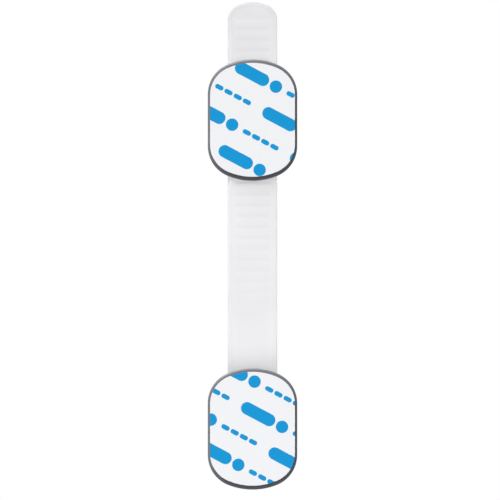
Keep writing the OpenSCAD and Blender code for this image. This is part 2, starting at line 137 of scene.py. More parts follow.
class PodSettings(bpy.types.PropertyGroup):
    """Sizes and colours of the two pods"""
    end_radius: bpy.props.FloatProperty(
        name="End radius", description="Radius of a pod's bowed ends", default=0.0254, unit="LENGTH")
    corner_radius: bpy.props.FloatProperty(
        name="Corner radius", description="Radius of a pod's corners", default=0.0124, unit="LENGTH")
    rim_round: bpy.props.FloatProperty(
        name="Rim width", description="Width of the rolled back rim", default=0.00075, unit="LENGTH")
    rim_depth: bpy.props.FloatProperty(
        name="Rim depth", description="Depth of the rolled back rim", default=0.0009, unit="LENGTH")
    parting: bpy.props.FloatProperty(
        name="Parting line", description="Chamfer where a cover meets its base", default=0.00018,
        unit="LENGTH")
    draw: bpy.props.FloatProperty(
        name="Draw", description="How far a cover draws in to its front", default=0.0056, unit="LENGTH")
    wall: bpy.props.FloatProperty(
        name="Wall", description="Thickness of a cover", default=0.0015, unit="LENGTH")
    colour: bpy.props.FloatVectorProperty(
        name="Pod colour", description="Colour of the moulded pods", default=(0.150, 0.152, 0.172),
        subtype="COLOR", min=0, max=1)
    worn: bpy.props.FloatVectorProperty(
        name="Worn colour", description="Colour of rubbed pod edges", default=(0.30, 0.31, 0.34),
        subtype="COLOR", min=0, max=1)


class AdhesiveSettings(bpy.types.PropertyGroup):
    """Sizes and colours of the foam tape and its release liners"""
    end_radius: bpy.props.FloatProperty(
        name="End radius", description="Radius of a liner's bowed ends", default=0.0240, unit="LENGTH")
    corner_radius: bpy.props.FloatProperty(
        name="Corner radius", description="Radius of a liner's corners", default=0.0113, unit="LENGTH")
    curl: bpy.props.FloatProperty(
        name="Curl", description="Width of liner that bends when it is peeled", default=0.004,
        unit="LENGTH")
    paper: bpy.props.FloatVectorProperty(
        name="Paper colour", description="Colour of the release liners", default=(0.870, 0.885, 0.900),
        subtype="COLOR", min=0, max=1)
    ink: bpy.props.FloatVectorProperty(
        name="Ink colour", description="Colour of the liners' marks", default=(0.0, 0.300, 0.65),
        subtype="COLOR", min=0, max=1)
    slant: bpy.props.FloatProperty(
        name="Slant", description="Turn of the rows of marks", default=math.radians(-28),
        subtype="ANGLE")
    foam: bpy.props.FloatVectorProperty(
        name="Foam colour", description="Colour of the foam tape", default=(0.82, 0.82, 0.79),
        subtype="COLOR", min=0, max=1)


class StrapSettings(bpy.types.PropertyGroup):
    """Sizes and colour of the toothed strap"""
    end_radius: bpy.props.FloatProperty(
        name="Tail end radius", description="Radius of the tail's end", default=0.0154, unit="LENGTH")
    corner_radius: bpy.props.FloatProperty(
        name="Tail corner radius", description="Radius of the tail's corners", default=0.0067,
        unit="LENGTH")
    edge: bpy.props.FloatProperty(
        name="Edge", description="Rounding of the strap's edges", default=0.0004, unit="LENGTH")
    border: bpy.props.FloatProperty(
        name="Border", description="Width of the raised border on the back", default=0.0009,
        unit="LENGTH")
    recess: bpy.props.FloatProperty(
        name="Recess", description="Depth of the field inside the border", default=0.00014,
        unit="LENGTH")
    pitch: bpy.props.FloatProperty(
        name="Tooth pitch", description="Spacing of the teeth", default=0.00415, unit="LENGTH")
    tooth: bpy.props.FloatProperty(
        name="Tooth height", description="Height of a tooth", default=0.0008, unit="LENGTH")
    land: bpy.props.FloatProperty(
        name="Tooth land", description="Flat crest between teeth", default=0.00035, unit="LENGTH")
    lane: bpy.props.FloatProperty(
        name="Lane", description="Width of the toothed lane", default=0.0136, unit="LENGTH")
    first_face: bpy.props.FloatProperty(
        name="First face", description="Height of the uppermost tooth's steep face", default=0.03405,
        unit="LENGTH")
    teeth: bpy.props.IntProperty(name="Teeth", description="Number of teeth", default=27, min=1)
    colour: bpy.props.FloatVectorProperty(
        name="Strap colour", description="Colour of the frosted strap", default=(0.96, 0.96, 0.973),
        subtype="COLOR", min=0, max=1)


class FittingSettings(bpy.types.PropertyGroup):
    """Sizes and colours of the lever, the buttons and the steel pieces"""
    lip: bpy.props.FloatProperty(
        name="Lip", description="Rolled edge of a cover's windows", default=0.0004, unit="LENGTH")
    pad_corner: bpy.props.FloatProperty(
        name="Pad corner", description="Corner radius of the press pad", default=0.0020, unit="LENGTH")
    ease: bpy.props.FloatProperty(
        name="Ease", description="Eased edge of the small fittings", default=0.00015, unit="LENGTH")
    colour: bpy.props.FloatVectorProperty(
        name="Button colour", description="Colour of the lever and buttons",
        default=(0.66, 0.68, 0.71), subtype="COLOR", min=0, max=1)
    steel: bpy.props.FloatVectorProperty(
        name="Steel colour", description="Colour of the springs, pins and screws",
        default=(0.58, 0.59, 0.61), subtype="COLOR", min=0, max=1)


class StageSettings(bpy.types.PropertyGroup):
    """The camera, the lights and the floor"""
    distance: bpy.props.FloatProperty(
        name="Camera distance", description="Distance of the long lens", default=8.0, unit="LENGTH")
    view_width: bpy.props.FloatProperty(
        name="View width", description="Width of the frame at the lock", default=0.1923, unit="LENGTH")
    aim: bpy.props.FloatVectorProperty(
        name="Aim", description="Point in the middle of the frame",
        default=(-0.00096, 0.0015, -0.04993), subtype="TRANSLATION")
    floor_gap: bpy.props.FloatProperty(
        name="Floor gap", description="Clear height below the lock, for the strap to slide down",
        default=0.035, unit="LENGTH")
    floor_size: bpy.props.FloatProperty(
        name="Floor size", description="Width of the floor", default=0.9, unit="LENGTH")
    ambient: bpy.props.FloatProperty(
        name="Ambient", description="Strength of the surrounding light", default=0.27)
    glow: bpy.props.FloatProperty(
        name="Glow", description="Strength of the light that is seen through the strap", default=1.02)
    sheen: bpy.props.FloatProperty(
        name="Sheen", description="Strength of the surroundings in reflections", default=0.52)
    key: bpy.props.FloatProperty(
        name="Key light", description="Power of the light at the upper left", default=855.0)
    front: bpy.props.FloatProperty(
        name="Front light", description="Power of the light on the covers", default=390.0)


# Hand work on one mesh

def make_active(piece):
    """Leaves edit mode and selects one piece alone."""
    if bpy.context.object and bpy.context.object.mode != "OBJECT":
        bpy.ops.object.mode_set(mode="OBJECT")
    bpy.ops.object.select_all(action="DESELECT")
    if piece:
        piece.select_set(True)
        bpy.context.view_layer.objects.active = piece


def edit(piece):
    """Opens a piece in edit mode with every face picked."""
    make_active(piece)
    bpy.ops.object.mode_set(mode="EDIT")
    bpy.ops.mesh.select_mode(type="FACE")
    bpy.ops.mesh.select_all(action="SELECT")


def close():
    """Goes back to object mode."""
    bpy.ops.object.mode_set(mode="OBJECT")


def pick(piece, test):
    """Picks the faces that pass a test."""
    bpy.ops.mesh.select_all(action="DESELECT")
    shape = bmesh.from_edit_mesh(piece.data)
    for face in shape.faces:
        face.select_set(bool(test(face)))
    bmesh.update_edit_mesh(piece.data)


def extrude(by):
    """Pulls the picked faces out by a step."""
    bpy.ops.mesh.extrude_region_move(TRANSFORM_OT_translate={"value": by})


def quarter_turn(steps):
    """The steps of a right angle, each as its start and its end."""
    angles = [math.pi / 2 * i / steps for i in range(steps + 1)]
    return zip(angles, angles[1:])


def roll_over(inset, rise, steps):
    """Insets the picked face along a quarter ellipse, so that its rim rolls over."""
    for a, b in quarter_turn(steps):
        bpy.ops.mesh.inset(
            thickness=inset * (math.cos(a) - math.cos(b)), depth=rise * (math.sin(b) - math.sin(a)))


def round_edges(piece, test, width, segments):
    """Rounds the edges whose two ends pass a test."""
    edit(piece)
    bpy.ops.mesh.select_mode(type="EDGE")
    bpy.ops.mesh.select_all(action="DESELECT")
    shape = bmesh.from_edit_mesh(piece.data)
    for edge in shape.edges:
        a, b = (point.co for point in edge.verts)
        edge.select_set(test(a, b))
    bmesh.update_edit_mesh(piece.data)
    bpy.ops.mesh.bevel(offset=width, segments=segments, affect="EDGES")
    close()


def modify(piece, kind, **values):
    """Adds a modifier and applies it."""
    made = piece.modifiers.new(kind.title(), kind)
    for name, value in values.items():
        setattr(made, name, value)
    make_active(piece)
    bpy.ops.object.modifier_apply(modifier=made.name)


def unite(piece, *others):
    """Joins other shapes to a piece, in their stead."""
    for other in others:
        modify(piece, "BOOLEAN", object=other, operation="UNION", solver="EXACT")
        bpy.data.objects.remove(other)


def cut(piece, *cutters):
    """Cuts shapes out of a piece, and removes them."""
    for cutter in cutters:
        modify(piece, "BOOLEAN", object=cutter, operation="DIFFERENCE", solver="EXACT")
        bpy.data.objects.remove(cutter)


def ease(piece, width, segments=2, angle=40):
    """Rounds the edges that turn by more than an angle in degrees."""
    modify(piece, "BEVEL", width=width, segments=segments, limit_method="ANGLE",
           angle_limit=math.radians(angle), use_clamp_overlap=False)


def weld(piece):
    """Merges doubled points and turns every face outwards."""
    edit(piece)
    bpy.ops.mesh.remove_doubles(threshold=TOUCH)
    bpy.ops.mesh.normals_make_consistent(inside=False)
    close()


def join_flats(piece):
    """Merges doubled points and joins the faces that lie in one plane."""
    edit(piece)
    bpy.ops.mesh.remove_doubles(threshold=TOUCH)
    bpy.ops.mesh.dissolve_limited(angle_limit=math.radians(1))
    close()


def copied(piece, name, by=(0, 0, 0), flip=False):
    """A copy with a mesh of its own, moved by a step, or turned over from left to right."""
    made = bpy.data.objects.new(name, piece.data.copy())
    bpy.context.scene.collection.objects.link(made)
    make_active(made)
    made.location = by
    made.scale.x = -1 if flip else 1
    bpy.ops.object.transform_apply(location=True, rotation=True, scale=True)
    if flip:
        weld(made)
    return made


def both_sides(piece):
    """A shape and its copy on the other side."""
    return piece, copied(piece, piece.name, flip=True)


def set_out(piece, places):
    """Copies of a shape at places of X and Z on both sides, in its stead."""
    made = [copied(piece, piece.name, (side * x, 0, z)) for x, z in places for side in (1, -1)]
    bpy.data.objects.remove(piece)
    return made


def repeated(piece, count, by):
    """Repeats a shape in a row."""
    modify(piece, "ARRAY", count=count, use_relative_offset=False, use_constant_offset=True,
           constant_offset_displace=by)
    return piece


def smooth(piece, angle=32):
    """Smooths the round stretches and keeps the large faces flat."""
    make_active(piece)
    bpy.ops.object.shade_smooth_by_angle(angle=math.radians(angle))
    modify(piece, "WEIGHTED_NORMAL", keep_sharp=True)


def keep_rest(piece):
    """Stores where each point lies at rest, for patterns that follow a bending piece."""
    places = piece.data.attributes.new("rest", "FLOAT_VECTOR", "POINT")
    for place, point in zip(places.data, piece.data.vertices):
        place.vector = point.co


def dress(piece, material, nodes, body=None):
    """Gives a piece its finish, the nodes that it stands for and its body."""
    piece.data.materials.clear()
    piece.data.materials.append(material)
    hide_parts(*nodes)
    if body:
        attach(piece, body)


# Outlines

def arc(x, z, radius, start, end, steps):
    """Points of an arc, both ends included."""
    turns = [start + (end - start) * i / steps for i in range(steps + 1)]
    return [(x + radius * math.cos(a), z + radius * math.sin(a)) for a in turns]


def corner_middle(width, top, end_radius, corner_radius):
    """Middle of a bowed end's right corner, and the height of the bow's own middle."""
    x = width / 2 - corner_radius
    end_z = top - end_radius
    return x, end_z + math.sqrt((end_radius - corner_radius) ** 2 - x ** 2), end_z


def bowed_end(width, top, end_radius, corner_radius):
    """Half an outline, from its right side over a bowed end to its left side."""
    x, z, end_z = corner_middle(width, top, end_radius, corner_radius)
    turn = math.atan2(z - end_z, x)
    right = arc(x, z, corner_radius, 0, turn, CORNER_STEPS)
    end = arc(0, end_z, end_radius, turn, math.pi - turn, END_STEPS)
    left = arc(-x, z, corner_radius, math.pi - turn, math.pi, CORNER_STEPS)
    return right + end[1:-1] + left


def two_ended(width, height, end_radius, corner_radius, middle):
    """Outline with two bowed ends about a middle height."""
    half = bowed_end(width, height / 2, end_radius, corner_radius)
    return [(x, middle + z) for x, z in half] + [(-x, middle - z) for x, z in half]


def round_box(low, high, radius, steps=6):
    """Outline of a rectangle with round corners, from two corners of X and Z."""
    corners = [(high[0] - radius, high[1] - radius), (low[0] + radius, high[1] - radius),
               (low[0] + radius, low[1] + radius), (high[0] - radius, low[1] + radius)]
    quarter = math.pi / 2
    return [p for i, (x, z) in enumerate(corners)
            for p in arc(x, z, radius, quarter * i, quarter * (i + 1), steps)]


def pod_outline(middle):
    """Outline of a pod about a middle height."""
    pods = bpy.context.scene.lock_pods
    return two_ended(POD_WIDTH, POD_HEIGHT, pods.end_radius, pods.corner_radius, middle)


def tape_outline(low, high, inset, middle):
    """Outline of a liner, or of a pad that lies inside it by an inset."""
    tape = bpy.context.scene.lock_adhesive
    return two_ended(high.x - low.x, high.z - low.z, tape.end_radius - inset,
                     tape.corner_radius - inset, middle)


def facing_back(outline, y):
    """Places of an outline of X and Z at one depth."""
    return [(x, y, z) for x, z in outline]


# Starting shapes

def prism(name, corners, by):
    """A filled circle drawn onto a list of corners, then extruded."""
    make_active(None)
    bpy.ops.mesh.primitive_circle_add(vertices=len(corners), fill_type="NGON")
    piece = bpy.context.object
    piece.name = name
    for point, corner in zip(piece.data.vertices, corners):
        point.co = corner
    edit(piece)
    extrude(by)
    bpy.ops.mesh.select_all(action="SELECT")
    bpy.ops.mesh.normals_make_consistent(inside=False)
    close()
    return piece


def block(name, low, high):
    """A cube set between two corners."""
    make_active(None)
    low, high = Vector(low), Vector(high)
    bpy.ops.mesh.primitive_cube_add(size=1, location=(low + high) / 2, scale=high - low)
    piece = bpy.context.object
    piece.name = name
    bpy.ops.object.transform_apply(location=True, rotation=True, scale=True)
    return piece


def rod(name, radius, start, end):
    """A cylinder between two points."""
    make_active(None)
    start, end = Vector(start), Vector(end)
    along = end - start
    bpy.ops.mesh.primitive_cylinder_add(
        vertices=ROUND_SIDES, radius=radius, depth=along.length, location=(start + end) / 2,
        rotation=along.to_track_quat("Z", "Y").to_euler())
    piece = bpy.context.object
    piece.name = name
    bpy.ops.object.transform_apply(location=True, rotation=True, scale=True)
    return piece


def rib_section(width, height):
    """Radius of a round rib that stands proud by a height, and how deep its middle lies."""
    radius = (width ** 2 / 4 + height ** 2) / (2 * height)
    return radius, radius - height


def round_rod(start, end, radius):
    """A rod with well rounded ends."""
    piece = rod("rib", radius, start, end)
    ease(piece, radius * 0.6, 4)
    return piece


def wire(name, path, radius):
    """A round wire along a path, made a mesh with closed ends."""
    route = bpy.data.curves.new(name, "CURVE")
    route.dimensions = "3D"
    route.bevel_depth = radius
    route.bevel_resolution = 2
    route.use_fill_caps = True
    line = route.splines.new("POLY")
    line.points.add(len(path) - 1)
    for knot, place in zip(line.points, path):
        knot.co = (*place, 1)
    piece = bpy.data.objects.new(name, route)
    bpy.context.scene.collection.objects.link(piece)
    make_active(piece)
    bpy.ops.object.convert(target="MESH")
    piece = bpy.context.object
    weld(piece)
    bpy.ops.object.shade_smooth_by_angle(angle=math.radians(50))
    return piece


def eased_copy(node, name, width):
    """A copy of a node with its triangles joined into flat faces and its edges eased."""
    piece = bpy.data.objects.new(name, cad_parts[node].data.copy())
    bpy.context.scene.collection.objects.link(piece)
    edit(piece)
    bpy.ops.mesh.customdata_custom_splitnormals_clear()
    close()
    join_flats(piece)
    ease(piece, width)
    smooth(piece)
    return piece


# Shader node work

def feed(tree, socket, value):
    """Links a socket to another one, or sets its own value."""
    if isinstance(value, bpy.types.NodeSocket):
        tree.links.new(socket, value)
    else:
        socket.default_value = value


def node(tree, kind, inputs=None, **settings):
    """A new node with its inputs and its settings."""
    made = tree.nodes.new(kind)
    for name, value in settings.items():
        setattr(made, name, value)
    for name, value in (inputs or {}).items():
        feed(tree, made.inputs[name], value)
    return made


def maths(tree, operation, *values):
    """What a sum makes of numbers or sockets."""
    made = node(tree, "ShaderNodeMath", operation=operation)
    for socket, value in zip(made.inputs, values):
        feed(tree, socket, value)
    return made.outputs[0]


def ranged(tree, value, low, high, to_low, to_high):
    """A value moved from one range to another, and held inside it."""
    made = node(tree, "ShaderNodeMapRange", {
        "Value": value, "From Min": low, "From Max": high, "To Min": to_low, "To Max": to_high})
    return made.outputs["Result"]


def blended(tree, share, first, second):
    """A colour between two others."""
    made = node(tree, "ShaderNodeMix", data_type="RGBA")
    feed(tree, made.inputs["Factor"], share)
    feed(tree, made.inputs["A"], first)
    feed(tree, made.inputs["B"], second)
    return made.outputs["Result"]


def shaded(tree, value, top, stops):
    """A shade looked up on a ramp, whose stops are places from nought to a top value."""
    made = node(tree, "ShaderNodeValToRGB", {"Fac": maths(tree, "DIVIDE", value, top)})
    knots = made.color_ramp.elements
    for i, (place, shade) in enumerate(stops):
        knot = knots[i] if i < len(knots) else knots.new(1.0)
        knot.position = place / top
        knot.color = (shade, shade, shade, 1)
    return made.outputs["Color"]


def chosen(tree, test, yes, no):
    """One of two values, by a test that is one or nought."""
    return maths(tree, "MULTIPLY_ADD", test, maths(tree, "SUBTRACT", yes, no), no)


def reach(tree, a, b):
    """Length of a step of two parts."""
    return maths(tree, "SQRT", maths(tree, "MULTIPLY_ADD", a, a, maths(tree, "MULTIPLY", b, b)))


def mixed(tree, share, first, second):
    """A shader between two others."""
    made = node(tree, "ShaderNodeMixShader", {"Fac": share})
    feed(tree, made.inputs[1], first.outputs[0])
    feed(tree, made.inputs[2], second.outputs[0])
    return made


def opaque(colour):
    """A colour with full cover."""
    return (*colour, 1)


def group(name, inputs, outputs):
    """A new node group with named sockets. Returns its tree, its inputs and its outputs."""
    tree = bpy.data.node_groups.new(name, "ShaderNodeTree")
    for label, kind, default in inputs:
        socket = tree.interface.new_socket(label, in_out="INPUT", socket_type=kind)
        if default is not None:
            socket.default_value = default
    for label, kind in outputs:
        tree.interface.new_socket(label, in_out="OUTPUT", socket_type=kind)
    return tree, node(tree, "NodeGroupInput").outputs, node(tree, "NodeGroupOutput").inputs


def placed(tree, name, inputs):
    """One node of a group, with its own values."""
    made = node(tree, "ShaderNodeGroup", node_tree=bpy.data.node_groups[name])
    for label, value in inputs.items():
        feed(tree, made.inputs[label], value)
    return made.outputs


def grain_group():
    """Fine spark-eroded grain of a moulded surface. Its vector is in millimetres."""
    tree, given, out = group(
        "Moulded grain", [("Vector", "NodeSocketVector", None), ("Fineness", "NodeSocketFloat", 5.0)],
        [("Height", "NodeSocketFloat"), ("Shade", "NodeSocketFloat")])
    pits = node(tree, "ShaderNodeTexVoronoi", {"Vector": given["Vector"], "Scale": given["Fineness"]},
                feature="SMOOTH_F1")
    cloud = node(tree, "ShaderNodeTexNoise", {
        "Vector": given["Vector"], "Scale": given["Fineness"], "Detail": 4.0, "Roughness": 0.6})
    wide = node(tree, "ShaderNodeTexNoise", {"Vector": given["Vector"], "Scale": 0.16, "Detail": 3.0})
    height = maths(tree, "MULTIPLY_ADD", pits.outputs["Distance"], 0.5, cloud.outputs[0])
    feed(tree, out["Height"], height)
    feed(tree, out["Shade"], maths(tree, "MULTIPLY_ADD", cloud.outputs[0], 0.35,
                                   maths(tree, "MULTIPLY", wide.outputs[0], 0.65)))


def wear_group():
    """Mask of rubbed edges: where a rounded normal leaves the true one, broken up by noise."""
    tree, given, out = group(
        "Edge wear", [("Vector", "NodeSocketVector", None), ("Radius", "NodeSocketFloat", 0.0004)],
        [("Mask", "NodeSocketFloat")])
    rounded = node(tree, "ShaderNodeBevel", {"Radius": given["Radius"]}, samples=6)
    true = node(tree, "ShaderNodeNewGeometry")
    match = node(tree, "ShaderNodeVectorMath", operation="DOT_PRODUCT")
    feed(tree, match.inputs[0], rounded.outputs[0])
    feed(tree, match.inputs[1], true.outputs["Normal"])
    patch = node(tree, "ShaderNodeTexNoise", {
        "Vector": given["Vector"], "Scale": 0.55, "Detail": 5.0, "Roughness": 0.65})
    edge = ranged(tree, match.outputs["Value"], 0.995, 0.86, 0.0, 1.0)
    feed(tree, out["Mask"], maths(tree, "MULTIPLY", edge,
                                  ranged(tree, patch.outputs[0], 0.42, 0.68, 0.0, 1.0)))


def marks_group():
    """Faint handling marks: long fine scratches and soft smudges."""
    tree, given, out = group(
        "Handling marks", [("Vector", "NodeSocketVector", None), ("Turn", "NodeSocketFloat", 0.6)],
        [("Scratches", "NodeSocketFloat"), ("Smudges", "NodeSocketFloat")])
    turned = node(tree, "ShaderNodeVectorRotate", {"Vector": given["Vector"], "Angle": given["Turn"]},
                  rotation_type="Y_AXIS")
    stretched = node(tree, "ShaderNodeMapping", {"Vector": turned.outputs[0], "Scale": (0.08, 1.0, 2.6)})
    lines = node(tree, "ShaderNodeTexNoise", {"Vector": stretched.outputs[0], "Scale": 2.4, "Detail": 2.0})
    smear = node(tree, "ShaderNodeTexNoise", {"Vector": given["Vector"], "Scale": 0.11, "Detail": 4.0})
    feed(tree, out["Scratches"], ranged(tree, lines.outputs[0], 0.66, 0.74, 0.0, 1.0))
    feed(tree, out["Smudges"], ranged(tree, smear.outputs[0], 0.45, 0.7, 0.0, 1.0))


def print_group():
    """Mask of the outer face's marks: slanting rows of a bar, a dot and four dashes, in millimetres."""
    row, repeat, shift = 10.4, 43.0, 17.5
    bar_middle, bar_half, bar_radius = 9.0, 4.8, 2.4
    dot_middle, dot_radius = 19.4, 2.4
    dash_start, dash_end, dash_pitch = 23.8, 39.8, 4.0
    dash_half, dash_radius = 0.8, 0.9
    ink_depth = 0.02
    tree, given, out = group(
        "Liner marks", [("Vector", "NodeSocketVector", None), ("Slant", "NodeSocketFloat", 0.0)],
        [("Mask", "NodeSocketFloat")])
    turned = node(tree, "ShaderNodeVectorRotate", {"Vector": given["Vector"], "Angle": given["Slant"]},
                  rotation_type="Y_AXIS")
    axes = node(tree, "ShaderNodeSeparateXYZ", {"Vector": turned.outputs[0]})
    rows = maths(tree, "DIVIDE", axes.outputs["Z"], row)
    across = maths(tree, "MULTIPLY", maths(tree, "SUBTRACT", maths(tree, "FRACT", rows), 0.5), row)
    along = maths(tree, "FLOORED_MODULO", maths(
        tree, "MULTIPLY_ADD", maths(tree, "FLOOR", rows), shift, axes.outputs["X"]), repeat)

    def rounded(offset, half, radius):
        """Mask of a bar with round ends, from the distance along the row to its middle."""
        past = maths(tree, "MAXIMUM", maths(tree, "SUBTRACT", maths(tree, "ABSOLUTE", offset), half), 0.0)
        return maths(tree, "LESS_THAN", reach(tree, past, across), radius)

    bar = rounded(maths(tree, "SUBTRACT", along, bar_middle), bar_half, bar_radius)
    dot = rounded(maths(tree, "SUBTRACT", along, dot_middle), 0.0, dot_radius)
    steps = maths(tree, "DIVIDE", maths(tree, "SUBTRACT", along, dash_start), dash_pitch)
    in_step = maths(tree, "MULTIPLY", maths(tree, "SUBTRACT", maths(tree, "FRACT", steps), 0.5), dash_pitch)
    dash = maths(tree, "MULTIPLY", rounded(in_step, dash_half, dash_radius), maths(
        tree, "MULTIPLY", maths(tree, "GREATER_THAN", along, dash_start),
        maths(tree, "LESS_THAN", along, dash_end)))
    marks = maths(tree, "MAXIMUM", maths(tree, "MAXIMUM", bar, dot), dash)
    on_face = maths(tree, "LESS_THAN", axes.outputs["Y"], LINER_LOW.y * MM + ink_depth)
    feed(tree, out["Mask"], maths(tree, "MULTIPLY", marks, on_face))


def shader(name):
    """A new material. Returns it with its tree and its main shader."""
    made = bpy.data.materials.new(name)
    made.use_nodes = True
    return made, made.node_tree, made.node_tree.nodes["Principled BSDF"]


def millimetres(tree, attribute=None):
    """The piece's own coordinates in millimetres, or its stored rest places."""
    if attribute:
        source = node(tree, "ShaderNodeAttribute", attribute_name=attribute).outputs["Vector"]
    else:
        source = node(tree, "ShaderNodeTexCoord").outputs["Object"]
    made = node(tree, "ShaderNodeVectorMath", {"Scale": MM}, operation="SCALE")
    feed(tree, made.inputs[0], source)
    return made.outputs[0]


def bumped(tree, main, height, distance, strength):
    """Gives a shader a fine relief, whose depth is in metres."""
    made = node(tree, "ShaderNodeBump", {"Height": height, "Distance": distance, "Strength": strength})
    feed(tree, main.inputs["Normal"], made.outputs[0])


def moulded_plastic(name, colour, worn, fineness, rough):
    """Satin moulded plastic with grain, rubbed edges and faint marks."""
    made, tree, main = shader(name)
    place = millimetres(tree)
    grain = placed(tree, "Moulded grain", {"Vector": place, "Fineness": fineness})
    wear = placed(tree, "Edge wear", {"Vector": place, "Radius": 0.0004})
    marks = placed(tree, "Handling marks", {"Vector": place, "Turn": 0.7})
    deep = [c * 0.93 for c in colour]
    body = blended(tree, ranged(tree, grain["Shade"], 0.35, 0.65, 0.0, 1.0), opaque(deep), opaque(colour))
    rubbed = maths(tree, "MULTIPLY", wear["Mask"], 0.45)
    lined = maths(tree, "MAXIMUM", rubbed, maths(tree, "MULTIPLY", marks["Scratches"], 0.10))
    feed(tree, main.inputs["Base Color"], blended(tree, lined, body, opaque(worn)))
    even = ranged(tree, grain["Shade"], 0.35, 0.65, rough + 0.05, rough - 0.04)
    feed(tree, main.inputs["Roughness"], maths(
        tree, "SUBTRACT", even, maths(tree, "MULTIPLY", marks["Smudges"], 0.07)))
    main.inputs["IOR"].default_value = 1.49
    bumped(tree, main, grain["Height"], distance=0.00002, strength=0.35)
    return made


def painted_border_shade(tree, strap, x, z):
    """Painted shade and painted light along the strap's outline and its border, from the distance to the
    edge in millimetres: a darker line at the edge, a lighter band inside it, and a darker line where the
    border steps down to the field.
    """
    end, corner = strap.end_radius * MM, strap.corner_radius * MM
    corner_x, corner_z, end_z = corner_middle(BAND_WIDTH * MM, BAND_HIGH.z * MM, end, corner)
    along = maths(tree, "SUBTRACT", z, end_z)
    past = maths(tree, "SUBTRACT", z, corner_z)
    from_side = maths(tree, "SUBTRACT", BAND_WIDTH / 2 * MM, x)
    from_corner = maths(tree, "SUBTRACT", corner, reach(tree, maths(tree, "SUBTRACT", x, corner_x), past))
    from_end = maths(tree, "SUBTRACT", end, reach(tree, x, along))
    slope = (corner_z - end_z) / corner_x
    at_end = maths(tree, "LESS_THAN", maths(tree, "MULTIPLY", x, slope), along)
    inset = chosen(tree, maths(tree, "GREATER_THAN", past, 0.0), from_corner, from_side)
    inset = chosen(tree, at_end, from_end, inset)
    # Painted shade and painted light: dark at the very edge, light inside it, dark again at the border's
    # step
    return shaded(tree, inset, 4.0, (
        (0.0, 0.955), (0.4, 0.955), (0.75, 1.0), (1.05, 0.995), (1.42, 0.955), (1.8, 0.975), (2.9, 0.995),
        (4.0, 0.98)))


def painted_tooth_shade(tree, strap, x, z, noise):
    """Painted shade and painted light of the teeth, as they show through the strap: dark lines and lighter
    bands at the teeth's pitch, clear by the adjuster, faint by the latch.
    """
    strength = 0.105
    lane = strap.lane / 2 * MM
    on_tail = maths(tree, "GREATER_THAN", z, 0.0)
    down = maths(tree, "DIVIDE", maths(tree, "SUBTRACT", strap.first_face * MM, z), strap.pitch * MM)
    phase = maths(tree, "FRACT", maths(tree, "MULTIPLY_ADD", on_tail, -0.6, down))
    # Painted shade at each steep face and painted light a little below it
    line = shaded(tree, phase, 1.0, (
        (0.0, 0.15), (0.05, 0.0), (0.16, 0.35), (0.36, 1.0), (0.55, 0.8), (0.8, 0.6), (0.92, 0.5),
        (1.0, 0.15)))
    inside = maths(tree, "MULTIPLY", ranged(tree, x, lane - 0.4, lane + 0.2, 1.0, 0.0), ranged(
        tree, maths(tree, "ABSOLUTE", maths(tree, "SUBTRACT", down, (strap.teeth - 2) / 2)),
        strap.teeth / 2, strap.teeth / 2 + 0.5, 1.0, 0.0))
    clear = maths(tree, "MULTIPLY", ranged(tree, z, -76.0, -26.0, 0.12, 1.0),
                  ranged(tree, noise, 0.3, 0.7, 0.7, 1.2))
    deep = maths(tree, "MULTIPLY", maths(tree, "MULTIPLY", inside, clear), strength)
    return maths(tree, "MULTIPLY_ADD", deep, maths(tree, "SUBTRACT", line, 0.6), 1.0)


def painted_length_shade(tree, z):
    """Painted light and shade along the strap: painted light just below the adjuster, where the pod casts
    its shadow, painted shade where the strap enters the latch head, and darker towards its tail.
    """
    # Painted shade towards the latch head, painted light just below the adjuster, darker towards the tail
    stops = ((-97, 0.74), (-94, 0.80), (-90, 0.90), (-86, 0.937), (-34, 0.945), (-25, 1.0), (24, 0.91),
             (36, 0.865), (43, 0.85))
    low, high = stops[0][0], stops[-1][0]
    raised = maths(tree, "SUBTRACT", z, low)
    return shaded(tree, raised, high - low, [(place - low, shade) for place, shade in stops])


def frosted_strap():
    """Milky strap plastic: light goes into it, and its surface is finely etched. Its colour carries painted
    shade and painted light at its edges, its teeth and its ends.
    """
    strap = bpy.context.scene.lock_strap
    made, tree, main = shader("Frosted strap")
    place = millimetres(tree, "rest")
    grain = placed(tree, "Moulded grain", {"Vector": place, "Fineness": 7.0})
    marks = placed(tree, "Handling marks", {"Vector": place, "Turn": 1.5})
    milky = [c * 0.98 for c in strap.colour]
    cloud = node(tree, "ShaderNodeTexNoise", {"Vector": place, "Scale": 0.09, "Detail": 3.0})
    body = blended(
        tree, ranged(tree, cloud.outputs[0], 0.3, 0.7, 0.0, 1.0), opaque(milky), opaque(strap.colour))
    axes = node(tree, "ShaderNodeSeparateXYZ", {"Vector": place}).outputs
    x, z = maths(tree, "ABSOLUTE", axes["X"]), axes["Z"]
    # The strap's colour darkened and lightened by painted shade and painted light of its edges, its teeth
    # and its length
    shade = maths(tree, "MULTIPLY", painted_border_shade(tree, strap, x, z), maths(
        tree, "MULTIPLY", painted_tooth_shade(tree, strap, x, z, cloud.outputs[0]), painted_length_shade(tree, z)))
    painted_shade_colour = node(tree, "ShaderNodeVectorMath", {"Scale": shade}, operation="SCALE")
    feed(tree, painted_shade_colour.inputs[0], body)
    feed(tree, main.inputs["Base Color"], painted_shade_colour.outputs[0])
    feed(tree, main.inputs["Roughness"], maths(
        tree, "SUBTRACT", ranged(tree, grain["Shade"], 0.35, 0.65, 0.48, 0.38),
        maths(tree, "MULTIPLY", marks["Scratches"], 0.08)))
    main.inputs["IOR"].default_value = 1.46
    main.inputs["Transmission Weight"].default_value = 0.75
    main.inputs["Subsurface Weight"].default_value = 0.85
    main.inputs["Subsurface Radius"].default_value = (1.0, 1.0, 1.05)
    main.inputs["Subsurface Scale"].default_value = 0.003
    bumped(tree, main, grain["Height"], distance=0.00002, strength=0.25)
    return made


